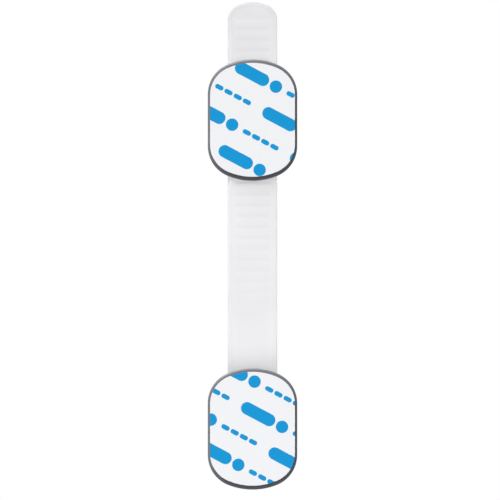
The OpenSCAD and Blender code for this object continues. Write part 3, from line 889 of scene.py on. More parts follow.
def release_paper():
    """Coated release paper with plain blue marks."""
    tape = bpy.context.scene.lock_adhesive
    made, tree, main = shader("Release paper")
    place = millimetres(tree, "rest")
    marks = placed(tree, "Liner marks", {"Vector": place, "Slant": tape.slant})
    fibre = node(tree, "ShaderNodeTexNoise", {
        "Vector": place, "Scale": 3.0, "Detail": 6.0, "Roughness": 0.7})
    cloud = node(tree, "ShaderNodeTexNoise", {"Vector": place, "Scale": 0.12, "Detail": 2.0})
    grey = [c * 0.975 for c in tape.paper]
    paper = blended(tree, cloud.outputs[0], opaque(grey), opaque(tape.paper))
    pale = [c + (1 - c) * 0.04 for c in tape.ink]
    ink = blended(tree, ranged(tree, fibre.outputs[0], 0.45, 0.7, 0.0, 1.0), opaque(tape.ink), opaque(pale))
    feed(tree, main.inputs["Base Color"], blended(tree, marks["Mask"], paper, ink))
    feed(tree, main.inputs["Roughness"], ranged(tree, fibre.outputs[0], 0.3, 0.7, 0.34, 0.46))
    main.inputs["Specular IOR Level"].default_value = 0.12
    bumped(tree, main, fibre.outputs[0], distance=0.00001, strength=0.2)
    return made


def foam_tape():
    """Closed-cell foam: small pale cells with sunken walls, darkened there by painted shade."""
    tape = bpy.context.scene.lock_adhesive
    made, tree, main = shader("Foam tape")
    place = millimetres(tree)
    cells = node(tree, "ShaderNodeTexVoronoi", {"Vector": place, "Scale": 6.0}, feature="DISTANCE_TO_EDGE")
    size = node(tree, "ShaderNodeTexNoise", {"Vector": place, "Scale": 1.4, "Detail": 3.0})
    wall = ranged(tree, cells.outputs["Distance"], 0.02, 0.16, 0.0, 1.0)
    depth = maths(tree, "MULTIPLY", wall, ranged(tree, size.outputs[0], 0.3, 0.7, 0.5, 1.0))
    # Painted shade in the sunken cell walls, following the bump's depth
    shadow = [c * 0.84 for c in tape.foam]
    feed(tree, main.inputs["Base Color"], blended(tree, depth, opaque(shadow), opaque(tape.foam)))
    feed(tree, main.inputs["Roughness"], ranged(tree, size.outputs[0], 0.3, 0.7, 0.5, 0.7))
    bumped(tree, main, depth, distance=0.00004, strength=0.5)
    return made


def drawn_steel():
    """Bright drawn steel with fine streaks and a little tarnish."""
    fitting = bpy.context.scene.lock_fittings
    made, tree, main = shader("Drawn steel")
    place = millimetres(tree)
    drawn = node(tree, "ShaderNodeMapping", {"Vector": place, "Scale": (0.6, 6.0, 6.0)})
    streak = node(tree, "ShaderNodeTexNoise", {"Vector": drawn.outputs[0], "Scale": 2.0, "Detail": 4.0})
    stain = node(tree, "ShaderNodeTexNoise", {"Vector": place, "Scale": 0.5, "Detail": 4.0})
    dull = [c * 0.72 for c in fitting.steel]
    feed(tree, main.inputs["Base Color"], blended(
        tree, ranged(tree, stain.outputs[0], 0.35, 0.6, 0.0, 1.0), opaque(dull), opaque(fitting.steel)))
    feed(tree, main.inputs["Roughness"], ranged(tree, streak.outputs[0], 0.3, 0.7, 0.22, 0.4))
    main.inputs["Metallic"].default_value = 1.0
    bumped(tree, main, streak.outputs[0], distance=0.00001, strength=0.2)
    return made


def finish_of(name, make, *values):
    """A material by its name, made the first time that a piece needs it."""
    return bpy.data.materials.get(name) or make(*values)


def pod_plastic():
    """The slate plastic of the pods."""
    pods = bpy.context.scene.lock_pods
    return finish_of("Pod plastic", moulded_plastic, "Pod plastic", pods.colour, pods.worn, 4.5, 0.42)


def button_plastic():
    """The pale plastic of the lever and the buttons."""
    fitting = bpy.context.scene.lock_fittings
    worn = [c + (1 - c) * 0.4 for c in fitting.colour]
    return finish_of("Button plastic", moulded_plastic, "Button plastic", fitting.colour, worn, 5.5, 0.38)


def steel():
    """The steel of the springs, pins and screws."""
    return finish_of("Drawn steel", drawn_steel)


# Operators, one for each piece or group of like pieces

class LOCK_OT_stage(bpy.types.Operator):
    """Sets the camera, the lights, the surroundings and the floor"""
    bl_idname = "lock.make_stage"
    bl_label = "Stage"

    key_from = (-0.45, -0.50, 0.95)
    key_size = 5.0
    front_from = (0.05, 0.75, 0.60)
    front_size = 6.5
    light_distance = 7.0
    floor_cells = 8
    floor_pale = (0.90, 0.90, 0.90)
    floor_light = (0.93, 0.93, 0.93)
    floor_dim = (0.315, 0.315, 0.325)

    def execute(self, context):
        stage = context.scene.lock_stage
        self.camera(context, stage)
        self.light("Key", Vector(stage.aim), Vector(self.key_from), stage.key, self.key_size)
        self.light("Front", Vector(stage.aim), Vector(self.front_from), stage.front, self.front_size)
        self.surroundings(context, stage)
        self.floor(stage)
        context.scene.view_settings.view_transform = "Standard"
        return {"FINISHED"}

    def camera(self, context, stage):
        """A long lens that looks straight at the adhesive side."""
        lens = bpy.data.cameras.new("Camera")
        lens.lens = lens.sensor_width * stage.distance / stage.view_width
        lens.clip_end = stage.distance * 4
        seen = bpy.data.objects.new("Camera", lens)
        seen.location = Vector(stage.aim) - Vector((0, stage.distance, 0))
        seen.rotation_euler = (math.radians(90), 0, 0)
        context.scene.collection.objects.link(seen)
        context.scene.camera = seen

    def light(self, name, aim, direction, power, size):
        """A square soft light that looks at the lock, and doesn't glare through the strap."""
        lamp = bpy.data.lights.new(name, "AREA")
        lamp.energy = power
        lamp.size = size
        held = bpy.data.objects.new(name, lamp)
        held.location = aim + direction.normalized() * self.light_distance
        held.rotation_euler = direction.to_track_quat("Z", "Y").to_euler()
        held.visible_transmission = False
        bpy.context.scene.collection.objects.link(held)

    def surroundings(self, context, stage):
        """White surroundings for the camera and for what is seen through the strap, and a dimmer light."""
        world = bpy.data.worlds.new("Surroundings")
        world.use_nodes = True
        context.scene.world = world
        tree = world.node_tree
        tree.nodes.clear()
        even, sheen, glow, white = (
            node(tree, "ShaderNodeBackground", {"Color": (1, 1, 1, 1), "Strength": strength})
            for strength in (stage.ambient, stage.sheen, stage.glow, 1.0))
        path = node(tree, "ShaderNodeLightPath").outputs
        mirrored = mixed(tree, path["Is Glossy Ray"], even, sheen)
        through = mixed(tree, path["Is Transmission Ray"], mirrored, glow)
        seen = mixed(tree, path["Is Camera Ray"], through, white)
        node(tree, "ShaderNodeOutputWorld", {"Surface": seen.outputs[0]})

    def floor(self, stage):
        """A plain pale floor below the lock. It throws little light up, and is clear from below."""
        top = CAD_LOW.z - stage.floor_gap
        make_active(None)
        bpy.ops.mesh.primitive_grid_add(
            x_subdivisions=self.floor_cells, y_subdivisions=self.floor_cells, size=stage.floor_size,
            location=(0, 0, top))
        ground = bpy.context.object
        ground.name = "floor"
        bpy.ops.object.transform_apply(location=True, rotation=True, scale=True)
        made, tree, main = shader("Pale floor")
        cloud = node(tree, "ShaderNodeTexNoise", {"Vector": millimetres(tree), "Scale": 0.02})
        feed(tree, main.inputs["Base Color"], blended(
            tree, cloud.outputs[0], opaque(self.floor_pale), opaque(self.floor_light)))
        main.inputs["Roughness"].default_value = 0.8
        dim = node(tree, "ShaderNodeBsdfDiffuse", {"Color": opaque(self.floor_dim)})
        glow = node(tree, "ShaderNodeEmission", {"Strength": stage.glow})
        path = node(tree, "ShaderNodeLightPath").outputs
        through = mixed(tree, path["Is Transmission Ray"], dim, glow)
        seen = mixed(tree, path["Is Camera Ray"], through, main)
        clear = node(tree, "ShaderNodeBsdfTransparent")
        behind = node(tree, "ShaderNodeNewGeometry").outputs["Backfacing"]
        one_sided = mixed(tree, behind, seen, clear)
        feed(tree, tree.nodes["Material Output"].inputs["Surface"], one_sided.outputs[0])
        ground.data.materials.append(made)


def base_plate(name):
    """A pod's base plate: a rolled back rim, and a chamfer at the parting line."""
    pods = bpy.context.scene.lock_pods
    back = BASE_LOW.y + pods.rim_depth
    front = COVER_LOW.y - pods.parting
    piece = prism(name, facing_back(pod_outline(0), back), (0, front - back, 0))
    edit(piece)
    pick(piece, lambda face: face.normal.y < -FACING)
    roll_over(pods.rim_round, pods.rim_depth, ROLL_STEPS)
    pick(piece, lambda face: face.normal.y > FACING)
    bpy.ops.mesh.inset(thickness=pods.parting, depth=pods.parting)
    close()
    return piece


def screw_hole():
    """A countersunk hole that opens at the back of a base plate."""
    make_active(None)
    depth = SCREW_SINK + OVERRUN
    mouth = SCREW_SHANK + (SCREW_HEAD - SCREW_SHANK) * depth / SCREW_SINK
    bpy.ops.mesh.primitive_cone_add(
        vertices=ROUND_SIDES, radius1=mouth, radius2=SCREW_SHANK, depth=depth,
        location=(0, BASE_LOW.y + SCREW_SINK - depth / 2, 0), rotation=(-math.pi / 2, 0, 0))
    hole = bpy.context.object
    bpy.ops.object.transform_apply(location=True, rotation=True, scale=True)
    edit(hole)
    pick(hole, lambda face: face.normal.y > FACING)
    extrude((0, SCREW_LENGTH - SCREW_SINK, 0))
    close()
    return hole


class LOCK_OT_bases(bpy.types.Operator):
    """Models the two base plates, with the strap's guides and the keeper posts"""
    bl_idname = "lock.make_bases"
    bl_label = "Base plates"

    pin_bore = 0.00103
    guide_in = 0.0098
    guide_thick = 0.0012
    guide_half = 0.017
    guide_clear = 0.00035
    post_in = 0.0094
    post_out = 0.0110
    post_half = 0.004
    lip_in = 0.0080
    lip_back = 0.0064
    lip_lead = 0.0007

    def execute(self, context):
        plastic = pod_plastic()
        adjuster = base_plate("adjuster_base_plate")
        latch = copied(adjuster, "latch_base_plate", (0, 0, LATCH_Z))
        unite(adjuster, *both_sides(self.guide()))
        cut(adjuster, rod("bore", self.pin_bore, (BASE_LOW.x, LEVER_PIN.y, LEVER_PIN.z),
                          (BASE_HIGH.x, LEVER_PIN.y, LEVER_PIN.z)))
        cut(adjuster, *set_out(screw_hole(), ADJUSTER_SCREWS))
        smooth(adjuster)
        dress(adjuster, plastic, ["adjuster_base"], "adjuster")
        unite(latch, *both_sides(self.keeper(context.scene.lock_fittings.ease)))
        smooth(latch)
        dress(latch, plastic, ["latch_base"], "latch_base")
        return {"FINISHED"}

    def guide(self):
        """A wall beside the strap, with an ear for the lever's pin."""
        half = self.guide_half
        ear = BASE_HIGH.y - LEVER_PIN.y
        foot = COVER_LOW.y - OVERRUN
        top = BAND_HIGH.y + self.guide_clear
        crown = arc(LEVER_PIN.y, LEVER_PIN.z, ear, -math.pi / 2, math.pi / 2, CORNER_STEPS)
        profile = [(foot, -half), (top, -half), (top, -ear), *crown, (top, ear), (top, half), (foot, half)]
        return prism("guide", [(self.guide_in, y, z) for y, z in profile], (self.guide_thick, 0, 0))

    def keeper(self, easing):
        """A post with a hooked lip for a button."""
        top = LATCH_HIGH.y
        foot = COVER_LOW.y - OVERRUN
        profile = [(self.post_in, foot), (self.post_out, foot), (self.post_out, top),
                   (self.lip_in + self.lip_lead, top), (self.lip_in, top - self.lip_lead),
                   (self.lip_in, self.lip_back), (self.post_in, self.lip_back)]
        low = LATCH_Z - self.post_half
        post = prism("keeper", [(x, y, low) for x, y in profile], (0, 0, 2 * self.post_half))
        ease(post, easing)
        return post


def cover_shell(name, foot, middle):
    """A pod's cover: a shell whose sides draw in along a quarter ellipse to a flat front."""
    pods = bpy.context.scene.lock_pods
    straight = pods.parting * 2
    back = foot + pods.parting
    piece = prism(name, facing_back(pod_outline(middle), back), (0, straight, 0))
    edit(piece)
    pick(piece, lambda face: face.normal.y > FACING)
    roll_over(pods.draw, COVER_HIGH.y - back - straight, DOME_STEPS)
    pick(piece, lambda face: face.normal.y < -FACING)
    bpy.ops.mesh.inset(thickness=pods.parting, depth=pods.parting)
    bpy.ops.mesh.delete(type="FACE")
    close()
    modify(piece, "SOLIDIFY", thickness=pods.wall, offset=-1, use_even_offset=True, use_rim=True)
    return piece


def lipped_cutter(name, outline, level, lip, depth):
    """A plug that cuts a window in the front, with a rolled lip at a level of Y."""
    plug = prism(name, facing_back(outline(lip), level), (0, OVERRUN * 2, 0))
    edit(plug)
    pick(plug, lambda face: face.normal.y < -FACING)
    for a, b in quarter_turn(ROLL_STEPS):
        bpy.ops.mesh.inset(
            thickness=lip * (math.sin(b) - math.sin(a)), depth=lip * (math.cos(a) - math.cos(b)))
    extrude((0, -depth, 0))
    close()
    return plug


def boss_top(x, z):
    """How far a boss near a corner reaches before it would break through the cover."""
    pods = bpy.context.scene.lock_pods
    corner_x, corner_z, _ = corner_middle(
        POD_WIDTH, POD_HEIGHT / 2, pods.end_radius, pods.corner_radius)
    inset = pods.corner_radius - math.hypot(abs(x) - corner_x, abs(z) - corner_z) - BOSS_RADIUS
    share = math.sqrt(1 - (1 - min(inset / pods.draw, 1)) ** 2)
    return HEAD_LOW.y + (COVER_HIGH.y - HEAD_LOW.y) * share - pods.wall / 2


def add_bosses(piece, places, middle, foot):
    """Screw bosses from a foot to the front wall, each with its hole."""
    for x, z in places:
        boss = rod("boss", BOSS_RADIUS, (x, foot, middle + z), (x, boss_top(x, z), middle + z))
        unite(piece, *both_sides(boss))
    depth = SCREW_LENGTH - SCREW_SINK
    hole = rod("hole", SCREW_SHANK, (0, foot - OVERRUN, middle), (0, foot + depth, middle))
    cut(piece, *set_out(hole, places))


class LOCK_OT_covers(bpy.types.Operator):
    """Models the two covers, with the strap's slots, the lever's window and the buttons' holes"""
    bl_idname = "lock.make_covers"
    bl_label = "Covers"

    slot_half = 0.0099
    slot_round = 0.0008
    slot_steps = 5
    slot_clear = 0.0004
    head_slot = 0.0041
    frame_plate = 0.0012
    window_half = 0.0076
    window_top = -0.0026
    window_depth = 0.004
    swing_gap = 0.0011
    corner_gap = 0.0004
    button_gap = 0.0003

    def execute(self, context):
        fitting = context.scene.lock_fittings
        plastic = pod_plastic()
        adjuster = cover_shell("adjuster_shell", COVER_LOW.y, 0)
        add_bosses(adjuster, ADJUSTER_SCREWS, 0, COVER_LOW.y)
        cut(adjuster, self.slot(COVER_LOW.y, BAND_HIGH.y + self.slot_clear, BASE_LOW.z, BASE_HIGH.z))
        cut(adjuster, lipped_cutter("window", self.window, COVER_HIGH.y, fitting.lip, self.window_depth))
        smooth(adjuster)
        dress(adjuster, plastic, ["adjuster_cover"], "adjuster")

        head = cover_shell("latch_head_shell", HEAD_LOW.y, LATCH_Z)
        add_bosses(head, HEAD_SCREWS, LATCH_Z, HEAD_LOW.y + self.frame_plate)
        cut(head, self.slot(HEAD_LOW.y, HEAD_LOW.y + self.head_slot, BARREL_PIN.z, LATCH_HIGH.z))
        cut(head, self.button_hole())
        smooth(head)
        dress(head, plastic, ["head_cover"], "head")
        return {"FINISHED"}

    def slot(self, back, front, low, high):
        """The strap's way through a cover's end, with round front corners."""
        cutter = block("slot", (-self.slot_half, back - OVERRUN, low - OVERRUN),
                       (self.slot_half, front, high + OVERRUN))

        def at_front_corner(a, b):
            return max(abs(a.y - front), abs(b.y - front), abs(a.x - b.x)) < TOUCH

        round_edges(cutter, at_front_corner, self.slot_round, self.slot_steps)
        return cutter

    def window(self, grow):
        """The lever's window, grown by a width."""
        half = self.window_half + grow
        low = LEVER_LOW.z - self.swing_gap - grow
        corner = bpy.context.scene.lock_fittings.pad_corner + self.corner_gap + grow
        return round_box((-half, low), (half, self.window_top + grow), corner)

    def button_hole(self):
        """The buttons' way through both sides of the head."""
        radius = (BUTTON_HIGH.y - CAP_BACK) / 2 + self.button_gap
        half = (BUTTON_HIGH.z - BUTTON_LOW.z) / 2 + self.button_gap
        middle = (BUTTON_HIGH.y + CAP_BACK) / 2
        outline = stadium(middle, LATCH_Z, half, radius)
        past = CAD_HIGH.x + OVERRUN
        return prism("button_hole", [(-past, y, z) for y, z in outline], (2 * past, 0, 0))


def stadium(y, z, half, radius):
    """Outline of Y and Z with two round ends, long along Z."""
    reach_z = half - radius
    upper = arc(y, z + reach_z, radius, 0, math.pi, CORNER_STEPS)
    lower = arc(y, z - reach_z, radius, math.pi, 2 * math.pi, CORNER_STEPS)
    return upper + lower


class LOCK_OT_foam(bpy.types.Operator):
    """Models the two foam pads, whose cut edges draw in between their faces"""
    bl_idname = "lock.make_foam"
    bl_label = "Foam tape"

    pulled = 0.00012
    layers = 4

    def execute(self, context):
        foam = finish_of("Foam tape", foam_tape)
        adjuster = self.pad("adjuster_foam_pad", LINER_Z)
        latch = copied(adjuster, "latch_foam_pad", (0, 0, LATCH_Z))
        for piece, node_name, body in (
                (adjuster, "adjuster_foam", "adjuster"), (latch, "latch_foam", "latch_base")):
            smooth(piece)
            dress(piece, foam, [node_name], body)
        return {"FINISHED"}

    def pad(self, name, middle):
        """A pad whose edge is pulled in half way between its faces."""
        rise = (FOAM_HIGH.y - FOAM_LOW.y) / 2
        layer = rise / self.layers
        centre = Vector((0, FOAM_LOW.y + rise, middle))
        inset = LINER_HIGH.x - FOAM_HIGH.x
        outline = tape_outline(FOAM_LOW, FOAM_HIGH, inset, middle)
        drawn_share = 2 * self.pulled / (FOAM_HIGH.x - FOAM_LOW.x)
        waist = 1 - drawn_share
        piece = prism(name, [(x * waist, centre.y - layer, middle + (z - middle) * waist)
                             for x, z in outline], (0, 2 * layer, 0))
        edit(piece)
        for way in (-1, 1):
            pick(piece, lambda face: face.normal.y * way > FACING)
            grown = waist
            for i in range(1, self.layers):
                share = (i / (self.layers - 1)) ** 2
                wanted = 1 - drawn_share * (1 - share)
                extrude((0, way * layer, 0))
                bpy.ops.transform.resize(value=(wanted / grown, 1, wanted / grown), center_override=centre)
                grown = wanted
        close()
        return piece


class LOCK_OT_liners(bpy.types.Operator):
    """Models the two release liners, which curl along one side when they are peeled"""
    bl_idname = "lock.make_liners"
    bl_label = "Release liners"

    side_trim = 0.00008
    curl_cuts = 13

    def execute(self, context):
        tape = context.scene.lock_adhesive
        paper = finish_of("Release paper", release_paper)
        trimmed_share = 1 - self.side_trim / LINER_HIGH.x
        outline = [(x * trimmed_share, z) for x, z in tape_outline(LINER_LOW, LINER_HIGH, 0, LINER_Z)]
        adjuster = prism("adjuster_release_liner", facing_back(outline, LINER_LOW.y),
                         (0, LINER_HIGH.y - LINER_LOW.y, 0))
        self.crease(adjuster, tape.curl)
        latch = copied(adjuster, "latch_release_liner", (0, 0, LATCH_Z), flip=True)
        for piece, side, node_name, holder in (
                (adjuster, -1, "adjuster_liner", "adjuster"), (latch, 1, "latch_liner", "latch_base")):
            smooth(piece)
            keep_rest(piece)
            dress(piece, paper, [node_name])
            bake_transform(piece)
        return {"FINISHED"}

    def crease(self, piece, curl):
        """Cuts the sheet across where it curls at its left side, so that it bends smoothly."""
        edit(piece)
        for i in range(1, self.curl_cuts + 1):
            bpy.ops.mesh.select_all(action="SELECT")
            place = LINER_LOW.x + curl * i / self.curl_cuts
            bpy.ops.mesh.bisect(plane_co=(place, 0, 0), plane_no=(1, 0, 0))
        close()


class LOCK_OT_strap(bpy.types.Operator):
    """Models the strap as one piece, with its border, its teeth and its barrel"""
    bl_idname = "lock.make_strap"
    bl_label = "Strap"

    shoulder_top = 0.0041
    shoulder_low = 0.0032
    barrel_half = 0.007
    barrel_bore = 0.00105
    bend_top = -0.083
    bend_low = -0.095
    bend_step = 0.0006

    def execute(self, context):
        strap = context.scene.lock_strap
        piece = self.band(strap)
        self.barrel(piece)
        cut(piece, self.tooth_cutter(strap))
        self.ease_teeth(piece, strap)
        self.bend_cuts(piece)
        smooth(piece)
        keep_rest(piece)
        plastic = finish_of("Frosted strap", frosted_strap)
        dress(piece, plastic, ["strap_band", "strap_root"])
        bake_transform(piece)
        return {"FINISHED"}

    def outline(self, strap):
        """The strap from its tail to the middle of its barrel."""
        half, barrel = BAND_WIDTH / 2, self.barrel_half
        top, low = BARREL_PIN.z + self.shoulder_top, BARREL_PIN.z + self.shoulder_low
        return bowed_end(BAND_WIDTH, BAND_HIGH.z, strap.end_radius, strap.corner_radius) + [
            (-half, top), (-barrel, low), (-barrel, BARREL_PIN.z),
            (barrel, BARREL_PIN.z), (barrel, low), (half, top)]

    def band(self, strap):
        """The flat strap with round edges, and a sunk field inside a border on its back."""
        back, front = BAND_LOW.y + strap.edge, BAND_HIGH.y - strap.edge
        piece = prism("toothed_strap", facing_back(self.outline(strap), back), (0, front - back, 0))
        edit(piece)
        pick(piece, lambda face: face.normal.y > FACING)
        roll_over(strap.edge, strap.edge, ROLL_STEPS)
        pick(piece, lambda face: face.normal.y < -FACING)
        roll_over(strap.edge, strap.edge, ROLL_STEPS)
        bpy.ops.mesh.inset(thickness=strap.border, depth=0)
        bpy.ops.mesh.inset(thickness=strap.recess, depth=-strap.recess / 2)
        bpy.ops.mesh.inset(thickness=strap.recess, depth=-strap.recess / 2)
        close()
        return piece

    def barrel(self, piece):
        """The eye that the latch head hangs on."""
        radius = ROOT_HIGH.y - BARREL_PIN.y
        ends, past = (
            [(side * half, BARREL_PIN.y, BARREL_PIN.z) for side in (-1, 1)]
            for half in (self.barrel_half, self.barrel_half + OVERRUN))
        eye = rod("barrel", radius, *ends)
        ease(eye, radius / 10)
        unite(piece, eye)
        cut(piece, rod("bore", self.barrel_bore, *past))

    def tooth_cutter(self, strap):
        """Every tooth's notch: a ramp that ends at a steep face."""
        run = (strap.pitch - strap.land) * (strap.tooth + OVERLAP) / strap.tooth
        top, valley = BAND_HIGH.y + OVERLAP, BAND_HIGH.y - strap.tooth
        profile = [(top, strap.first_face - run), (valley, strap.first_face), (top, strap.first_face)]
        notch = prism("notch", [(-strap.lane / 2, y, z) for y, z in profile], (strap.lane, 0, 0))
        return repeated(notch, strap.teeth, (0, 0, -strap.pitch))

    def ease_teeth(self, piece, strap):
        """Rounds the long edges of the teeth."""
        below_valley = BAND_HIGH.y - strap.tooth * 1.1
        long_enough = strap.lane * 0.9

        def on_tooth(a, b):
            level = abs(a.y - b.y) < TOUCH and abs(a.z - b.z) < TOUCH
            return level and min(a.y, b.y) > below_valley and abs(a.x - b.x) > long_enough

        round_edges(piece, on_tooth, strap.land / 4, 2)

    def bend_cuts(self, piece):
        """Cuts across the stretch that bends."""
        edit(piece)
        count = round((self.bend_top - self.bend_low) / self.bend_step)
        for i in range(count + 1):
            bpy.ops.mesh.select_all(action="SELECT")
            bpy.ops.mesh.bisect(plane_co=(0, 0, self.bend_top - self.bend_step * i), plane_no=(0, 0, 1))
        close()


class LOCK_OT_lever(bpy.types.Operator):
    """Models the press lever: its ribbed pad, its arms and hubs, and the nose that holds the teeth"""
    bl_idname = "lock.make_lever"
    bl_label = "Press lever"

    pad_half = 0.0072
    pad_top = -0.003
    pad_back = 0.0095
    pad_wall = 0.0014
    pad_edge = 0.0006
    pad_dish = 0.0002
    rib_height = 0.00035
    rib_width = 0.001
    rib_half = 0.0052
    rib_pitch = 0.0023
    ribs = 4
    hub_radius = 0.0024
    hub_in = 0.003
    nose_half = 0.0064
    tooth_tip = 0.0003
    tooth_root = 0.00225
    arm_drop = 0.0018
    arm_thick = 0.002
    arm_foot = 0.004
    arm_lift = 0.0013
    arm_crown = 0.0006
    bore = 0.00105

    def execute(self, context):
        fitting = context.scene.lock_fittings
        lever = self.pad(fitting)
        for part in (self.arm(), self.hub(), self.nose_arm()):
            unite(lever, *both_sides(part))
        tooth = self.nose_tooth(LEVER_HIGH.z)
        pitch = context.scene.lock_strap.pitch
        unite(lever, self.nose_bar(), copied(tooth, "nose_tooth", (0, 0, -pitch)), tooth)
        ends = [(x + way * OVERRUN, LEVER_PIN.y, LEVER_PIN.z)
                for x, way in ((LEVER_LOW.x, -1), (LEVER_HIGH.x, 1))]
        cut(lever, rod("bore", self.bore, *ends))
        smooth(lever)
        dress(lever, button_plastic(), ["pawl_lever"], "pawl")
        return {"FINISHED"}

    def pad(self, fitting):
        """The thumb pad: rolled edges, a shallow dish and round ribs, hollow behind."""
        front = LEVER_HIGH.y - self.rib_height
        low = LEVER_LOW.z
        edge, dish = self.pad_edge, self.pad_dish
        outline = round_box((-self.pad_half, low), (self.pad_half, self.pad_top), fitting.pad_corner)
        piece = prism("press_lever", facing_back(outline, self.pad_back),
                      (0, front - edge - self.pad_back, 0))
        edit(piece)
        pick(piece, lambda face: face.normal.y > FACING)
        roll_over(edge, edge, ROLL_STEPS)
        bpy.ops.mesh.inset(thickness=edge / 2, depth=0)
        bpy.ops.mesh.inset(thickness=dish * 2, depth=-dish / 2)
        bpy.ops.mesh.inset(thickness=dish * 2, depth=-dish / 2)
        close()
        inside = self.pad_half - self.pad_wall
        floor = front - self.pad_wall
        cut(piece, block("hollow", (-inside, self.pad_back - OVERRUN, low + self.pad_wall),
                         (inside, floor, self.pad_top - self.pad_wall)))
        cut(piece, block("leg_way", (-self.hub_in, self.pad_back - OVERRUN, low + self.pad_wall),
                         (self.hub_in, floor, self.pad_top + OVERRUN)))
        z = (low + self.pad_top - self.rib_pitch * (self.ribs - 1)) / 2
        radius, depth = rib_section(self.rib_width, self.rib_height)
        rib = round_rod((-self.rib_half, front - depth, z), (self.rib_half, front - depth, z), radius)
        unite(piece, repeated(rib, self.ribs, (0, 0, self.rib_pitch)))
        return piece

    def arm(self):
        """The plate from a hub to the pad."""
        pin, foot = LEVER_PIN.y, self.pad_top - self.arm_foot
        floor = LEVER_HIGH.y - self.rib_height - self.pad_wall + OVERLAP
        profile = [(pin, 0), (pin - self.arm_drop, -self.hub_radius / 2),
                   (self.pad_back, foot), (floor, foot), (floor, self.pad_top - self.pad_wall),
                   (self.pad_back + self.arm_lift, self.pad_top), (pin + self.hub_radius, self.arm_crown)]
        return prism("arm", [(self.hub_in, y, z) for y, z in profile], (self.pad_half - self.hub_in, 0, 0))

    def hub(self):
        """The round eye on the pin."""
        return rod("hub", self.hub_radius, (self.hub_in, LEVER_PIN.y, 0), (LEVER_HIGH.x, LEVER_PIN.y, 0))

    def nose_arm(self):
        """The plate from a hub up to the nose."""
        low = LEVER_PIN.y - self.arm_drop
        return block("nose_arm", (self.hub_in, low, 0),
                     (self.nose_half, low + self.arm_thick, LEVER_HIGH.z))

    def nose_bar(self):
        """The bar across the strap that carries the nose teeth."""
        low = LEVER_PIN.y - self.arm_drop
        return block("nose_bar", (-self.nose_half, low, self.hub_in),
                     (self.nose_half, low + self.arm_thick, LEVER_HIGH.z))

    def nose_tooth(self, z):
        """A nose tooth with its holding face at a height."""
        back = LEVER_PIN.y - self.arm_drop + OVERLAP
        profile = [(back, z), (LEVER_LOW.y, z), (LEVER_LOW.y, z - self.tooth_tip),
                   (back, z - self.tooth_root)]
        corners = [(-self.nose_half, y, height) for y, height in profile]
        return prism("nose_tooth", corners, (2 * self.nose_half, 0, 0))


class LOCK_OT_buttons(bpy.types.Operator):
    """Models the two squeeze buttons, with their hooks and ribbed caps"""
    bl_idname = "lock.make_buttons"
    bl_label = "Squeeze buttons"

    flange_in = 0.006
    flange_out = 0.007
    cap_in = 0.0131
    cap_edge = 0.0009
    rib_height = 0.00017
    rib_width = 0.0008
    rib_pitch = 0.0019
    ribs = 5
    slide_thick = 0.0016
    slide_half = 0.0055
    slide_bar = 0.0011
    hook = 0.0091
    foot_half = 0.007
    upright_half = 0.0026
    upright_depth = 0.004
    spigot_radius = 0.0009

    def execute(self, context):
        plastic = button_plastic()
        right = self.cap("right_squeeze_button")
        unite(right, self.slide(context.scene.lock_fittings.ease))
        left = copied(right, "left_squeeze_button", flip=True)
        for piece, node_name in ((right, "right_button"), (left, "left_button")):
            smooth(piece)
            dress(piece, plastic, [node_name], node_name)
        return {"FINISHED"}

    def cap(self, name):
        """The finger cap: a round-ended block with a rolled edge and upright ribs."""
        edge = self.cap_edge
        middle = (CAP_BACK + BUTTON_HIGH.y) / 2
        radius = (BUTTON_HIGH.y - CAP_BACK) / 2
        half = (BUTTON_HIGH.z - BUTTON_LOW.z) / 2
        outline = stadium(middle, LATCH_Z, half, radius)
        length = BUTTON_HIGH.x - edge - self.cap_in
        piece = prism(name, [(self.cap_in, y, z) for y, z in outline], (length, 0, 0))
        edit(piece)
        pick(piece, lambda face: face.normal.x > FACING)
        roll_over(edge, edge, ROLL_STEPS)
        close()
        rib_radius, depth = rib_section(self.rib_width, self.rib_height)
        x = BUTTON_HIGH.x - depth
        z = LATCH_Z - self.rib_pitch * (self.ribs - 1) / 2
        span = radius - edge
        rib = round_rod((x, middle - span, z), (x, middle + span, z), rib_radius)
        unite(piece, repeated(rib, self.ribs, (0, 0, self.rib_pitch)))
        return piece

    def slide(self, easing):
        """The flat slide with a window for the keeper post, and the stop that the spring pushes on."""
        back, front = BUTTON_LOW.y, BUTTON_LOW.y + self.slide_thick
        near, far = self.flange_in, self.flange_out

        def about_middle(name, x, y, half):
            """A block between two places of X and of Y, as high above the middle as below it."""
            return block(name, (x[0], y[0], LATCH_Z - half), (x[1], y[1], LATCH_Z + half))

        piece = about_middle("slide", (near, self.cap_in + OVERRUN * 2), (back, front), self.slide_half)
        cut(piece, about_middle("keeper_way", (self.hook, self.cap_in + OVERRUN / 2),
                                (back - OVERRUN, front + OVERRUN), self.slide_half - self.slide_bar))
        unite(piece, about_middle("foot", (near, far), (back, front), self.foot_half),
              about_middle("upright", (near, far), (back, back + self.upright_depth), self.upright_half))
        join_flats(piece)
        ease(piece, easing)
        unite(piece, self.spigot())
        return piece

    def spigot(self):
        """The peg that keeps the spring in its place."""
        seat = (self.flange_in + self.flange_out) / 2
        return rod("spigot", self.spigot_radius, (BUTTON_LOW.x, COIL_Y, LATCH_Z), (seat, COIL_Y, LATCH_Z))


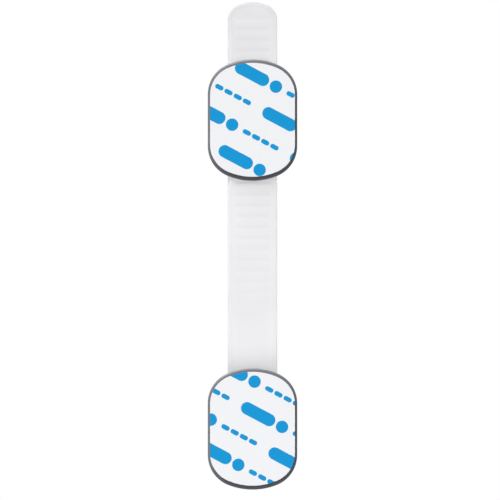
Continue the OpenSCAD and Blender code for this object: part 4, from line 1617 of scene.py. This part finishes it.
class LOCK_OT_springs(bpy.types.Operator):
    """Winds the two button springs and the lever's spring"""
    bl_idname = "lock.make_springs"
    bl_label = "Springs"

    button_wire = 0.0002
    button_radius = 0.0016
    button_turns = 4.5
    closing_share = 0.45
    rib_face = 0.001
    pressed_share = 0.64
    lever_wire = 0.000225
    lever_radius = 0.00175
    lever_turns = 3
    lever_half = 0.0016
    cover_leg = (0.003225, 0.007)
    pad_leg = (0.003725, -0.009)

    def execute(self, context):
        right = wire("right_spring_coil", self.button_path(), self.button_wire)
        left = copied(right, "left_spring_coil", flip=True)
        for piece, side, name in ((right, 1, "right"), (left, -1, "left")):
            dress(piece, steel(), [f"{name}_button_spring"], "head")
            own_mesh(piece)
        piece = wire("lever_spring_coil", self.lever_path(), self.lever_wire)
        dress(piece, steel(), ["pawl_spring"])
        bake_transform(piece)
        return {"FINISHED"}

    def button_path(self):
        """A coil whose end turns lie closer together."""
        radius = self.button_radius
        low, high = COIL_LOW.x + self.button_wire, COIL_HIGH.x - self.button_wire
        count = round(self.button_turns * COIL_STEPS)
        path = []
        for i in range(count + 1):
            share = i / count
            eased = share - self.closing_share * math.sin(2 * math.pi * share) / (2 * math.pi)
            turn = 2 * math.pi * self.button_turns * share
            path.append((low + (high - low) * eased, COIL_Y + radius * math.cos(turn),
                         LATCH_Z + radius * math.sin(turn)))
        return path

    def lever_path(self):
        """A leg to the cover, three turns round the pin and a leg to the press pad."""
        radius, half = self.lever_radius, self.lever_half
        leg_a, leg_b = Vector(self.cover_leg), Vector(self.pad_leg)
        start = math.atan2(leg_a.y, leg_a.x) - math.acos(radius / leg_a.length)
        end = math.atan2(leg_b.y, leg_b.x) + math.acos(radius / leg_b.length)
        sweep = 2 * math.pi * self.lever_turns + start - end
        count = math.ceil(sweep * COIL_STEPS / (2 * math.pi))
        path = [(-half, LEVER_PIN.y + leg_a.x, leg_a.y)]
        for i in range(count + 1):
            turn = start - sweep * i / count
            path.append((half * (2 * i / count - 1), LEVER_PIN.y + radius * math.cos(turn),
                         radius * math.sin(turn)))
        path.append((half, LEVER_PIN.y + leg_b.x, leg_b.y))
        return path


class LOCK_OT_fasteners(bpy.types.Operator):
    """Eases the edges of the head's frame, the pins and the screws"""
    bl_idname = "lock.make_fasteners"
    bl_label = "Frame, pins and screws"

    def execute(self, context):
        easing = context.scene.lock_fittings.ease
        piece = eased_copy("head_frame", "latch_head_frame", easing)
        dress(piece, pod_plastic(), ["head_frame"], "head")
        for node_name, name, body in (
                ("pawl_pin", "lever_pin", "adjuster"), ("strap_pin", "barrel_pin", "head"),
                ("adjuster_screws", "adjuster_screw_set", "adjuster"),
                ("head_screws", "latch_head_screw_set", "head")):
            piece = eased_copy(node_name, name, easing / 3)
            dress(piece, steel(), [node_name], body)
        return {"FINISHED"}


class LOCK_PT_panel(bpy.types.Panel):
    """Lists the lock's pieces and settings"""
    bl_idname = "LOCK_PT_panel"
    bl_label = "Cabinet lock"
    bl_space_type = "VIEW_3D"
    bl_region_type = "UI"
    bl_category = "Lock"

    def draw(self, context):
        for operator in OPERATORS:
            self.layout.operator(operator.bl_idname)
        for name in SETTINGS:
            box = self.layout.box()
            settings = getattr(context.scene, name)
            for key in settings.__annotations__:
                box.prop(settings, key)


OPERATORS = (
    LOCK_OT_stage, LOCK_OT_bases, LOCK_OT_covers, LOCK_OT_foam, LOCK_OT_liners, LOCK_OT_strap,
    LOCK_OT_lever, LOCK_OT_buttons, LOCK_OT_springs, LOCK_OT_fasteners,
)
SETTINGS = {
    "lock_pods": PodSettings, "lock_adhesive": AdhesiveSettings, "lock_strap": StrapSettings,
    "lock_fittings": FittingSettings, "lock_stage": StageSettings,
}


def register():
    """Adds the settings, the operators and the panel."""
    for kind in (*SETTINGS.values(), *OPERATORS, LOCK_PT_panel):
        bpy.utils.register_class(kind)
    for name, kind in SETTINGS.items():
        setattr(bpy.types.Scene, name, bpy.props.PointerProperty(type=kind))


def unregister():
    """Takes the settings, the operators and the panel away."""
    for name in SETTINGS:
        delattr(bpy.types.Scene, name)
    for kind in (LOCK_PT_panel, *reversed(OPERATORS), *reversed(SETTINGS.values())):
        bpy.utils.unregister_class(kind)


def main():
    """Makes every piece and the stage."""
    register()
    for build in (grain_group, wear_group, marks_group, print_group):
        build()
    for operator in OPERATORS:
        family, name = operator.bl_idname.split(".")
        getattr(getattr(bpy.ops, family), name)()
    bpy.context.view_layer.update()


if __name__ == "__main__":
    main()
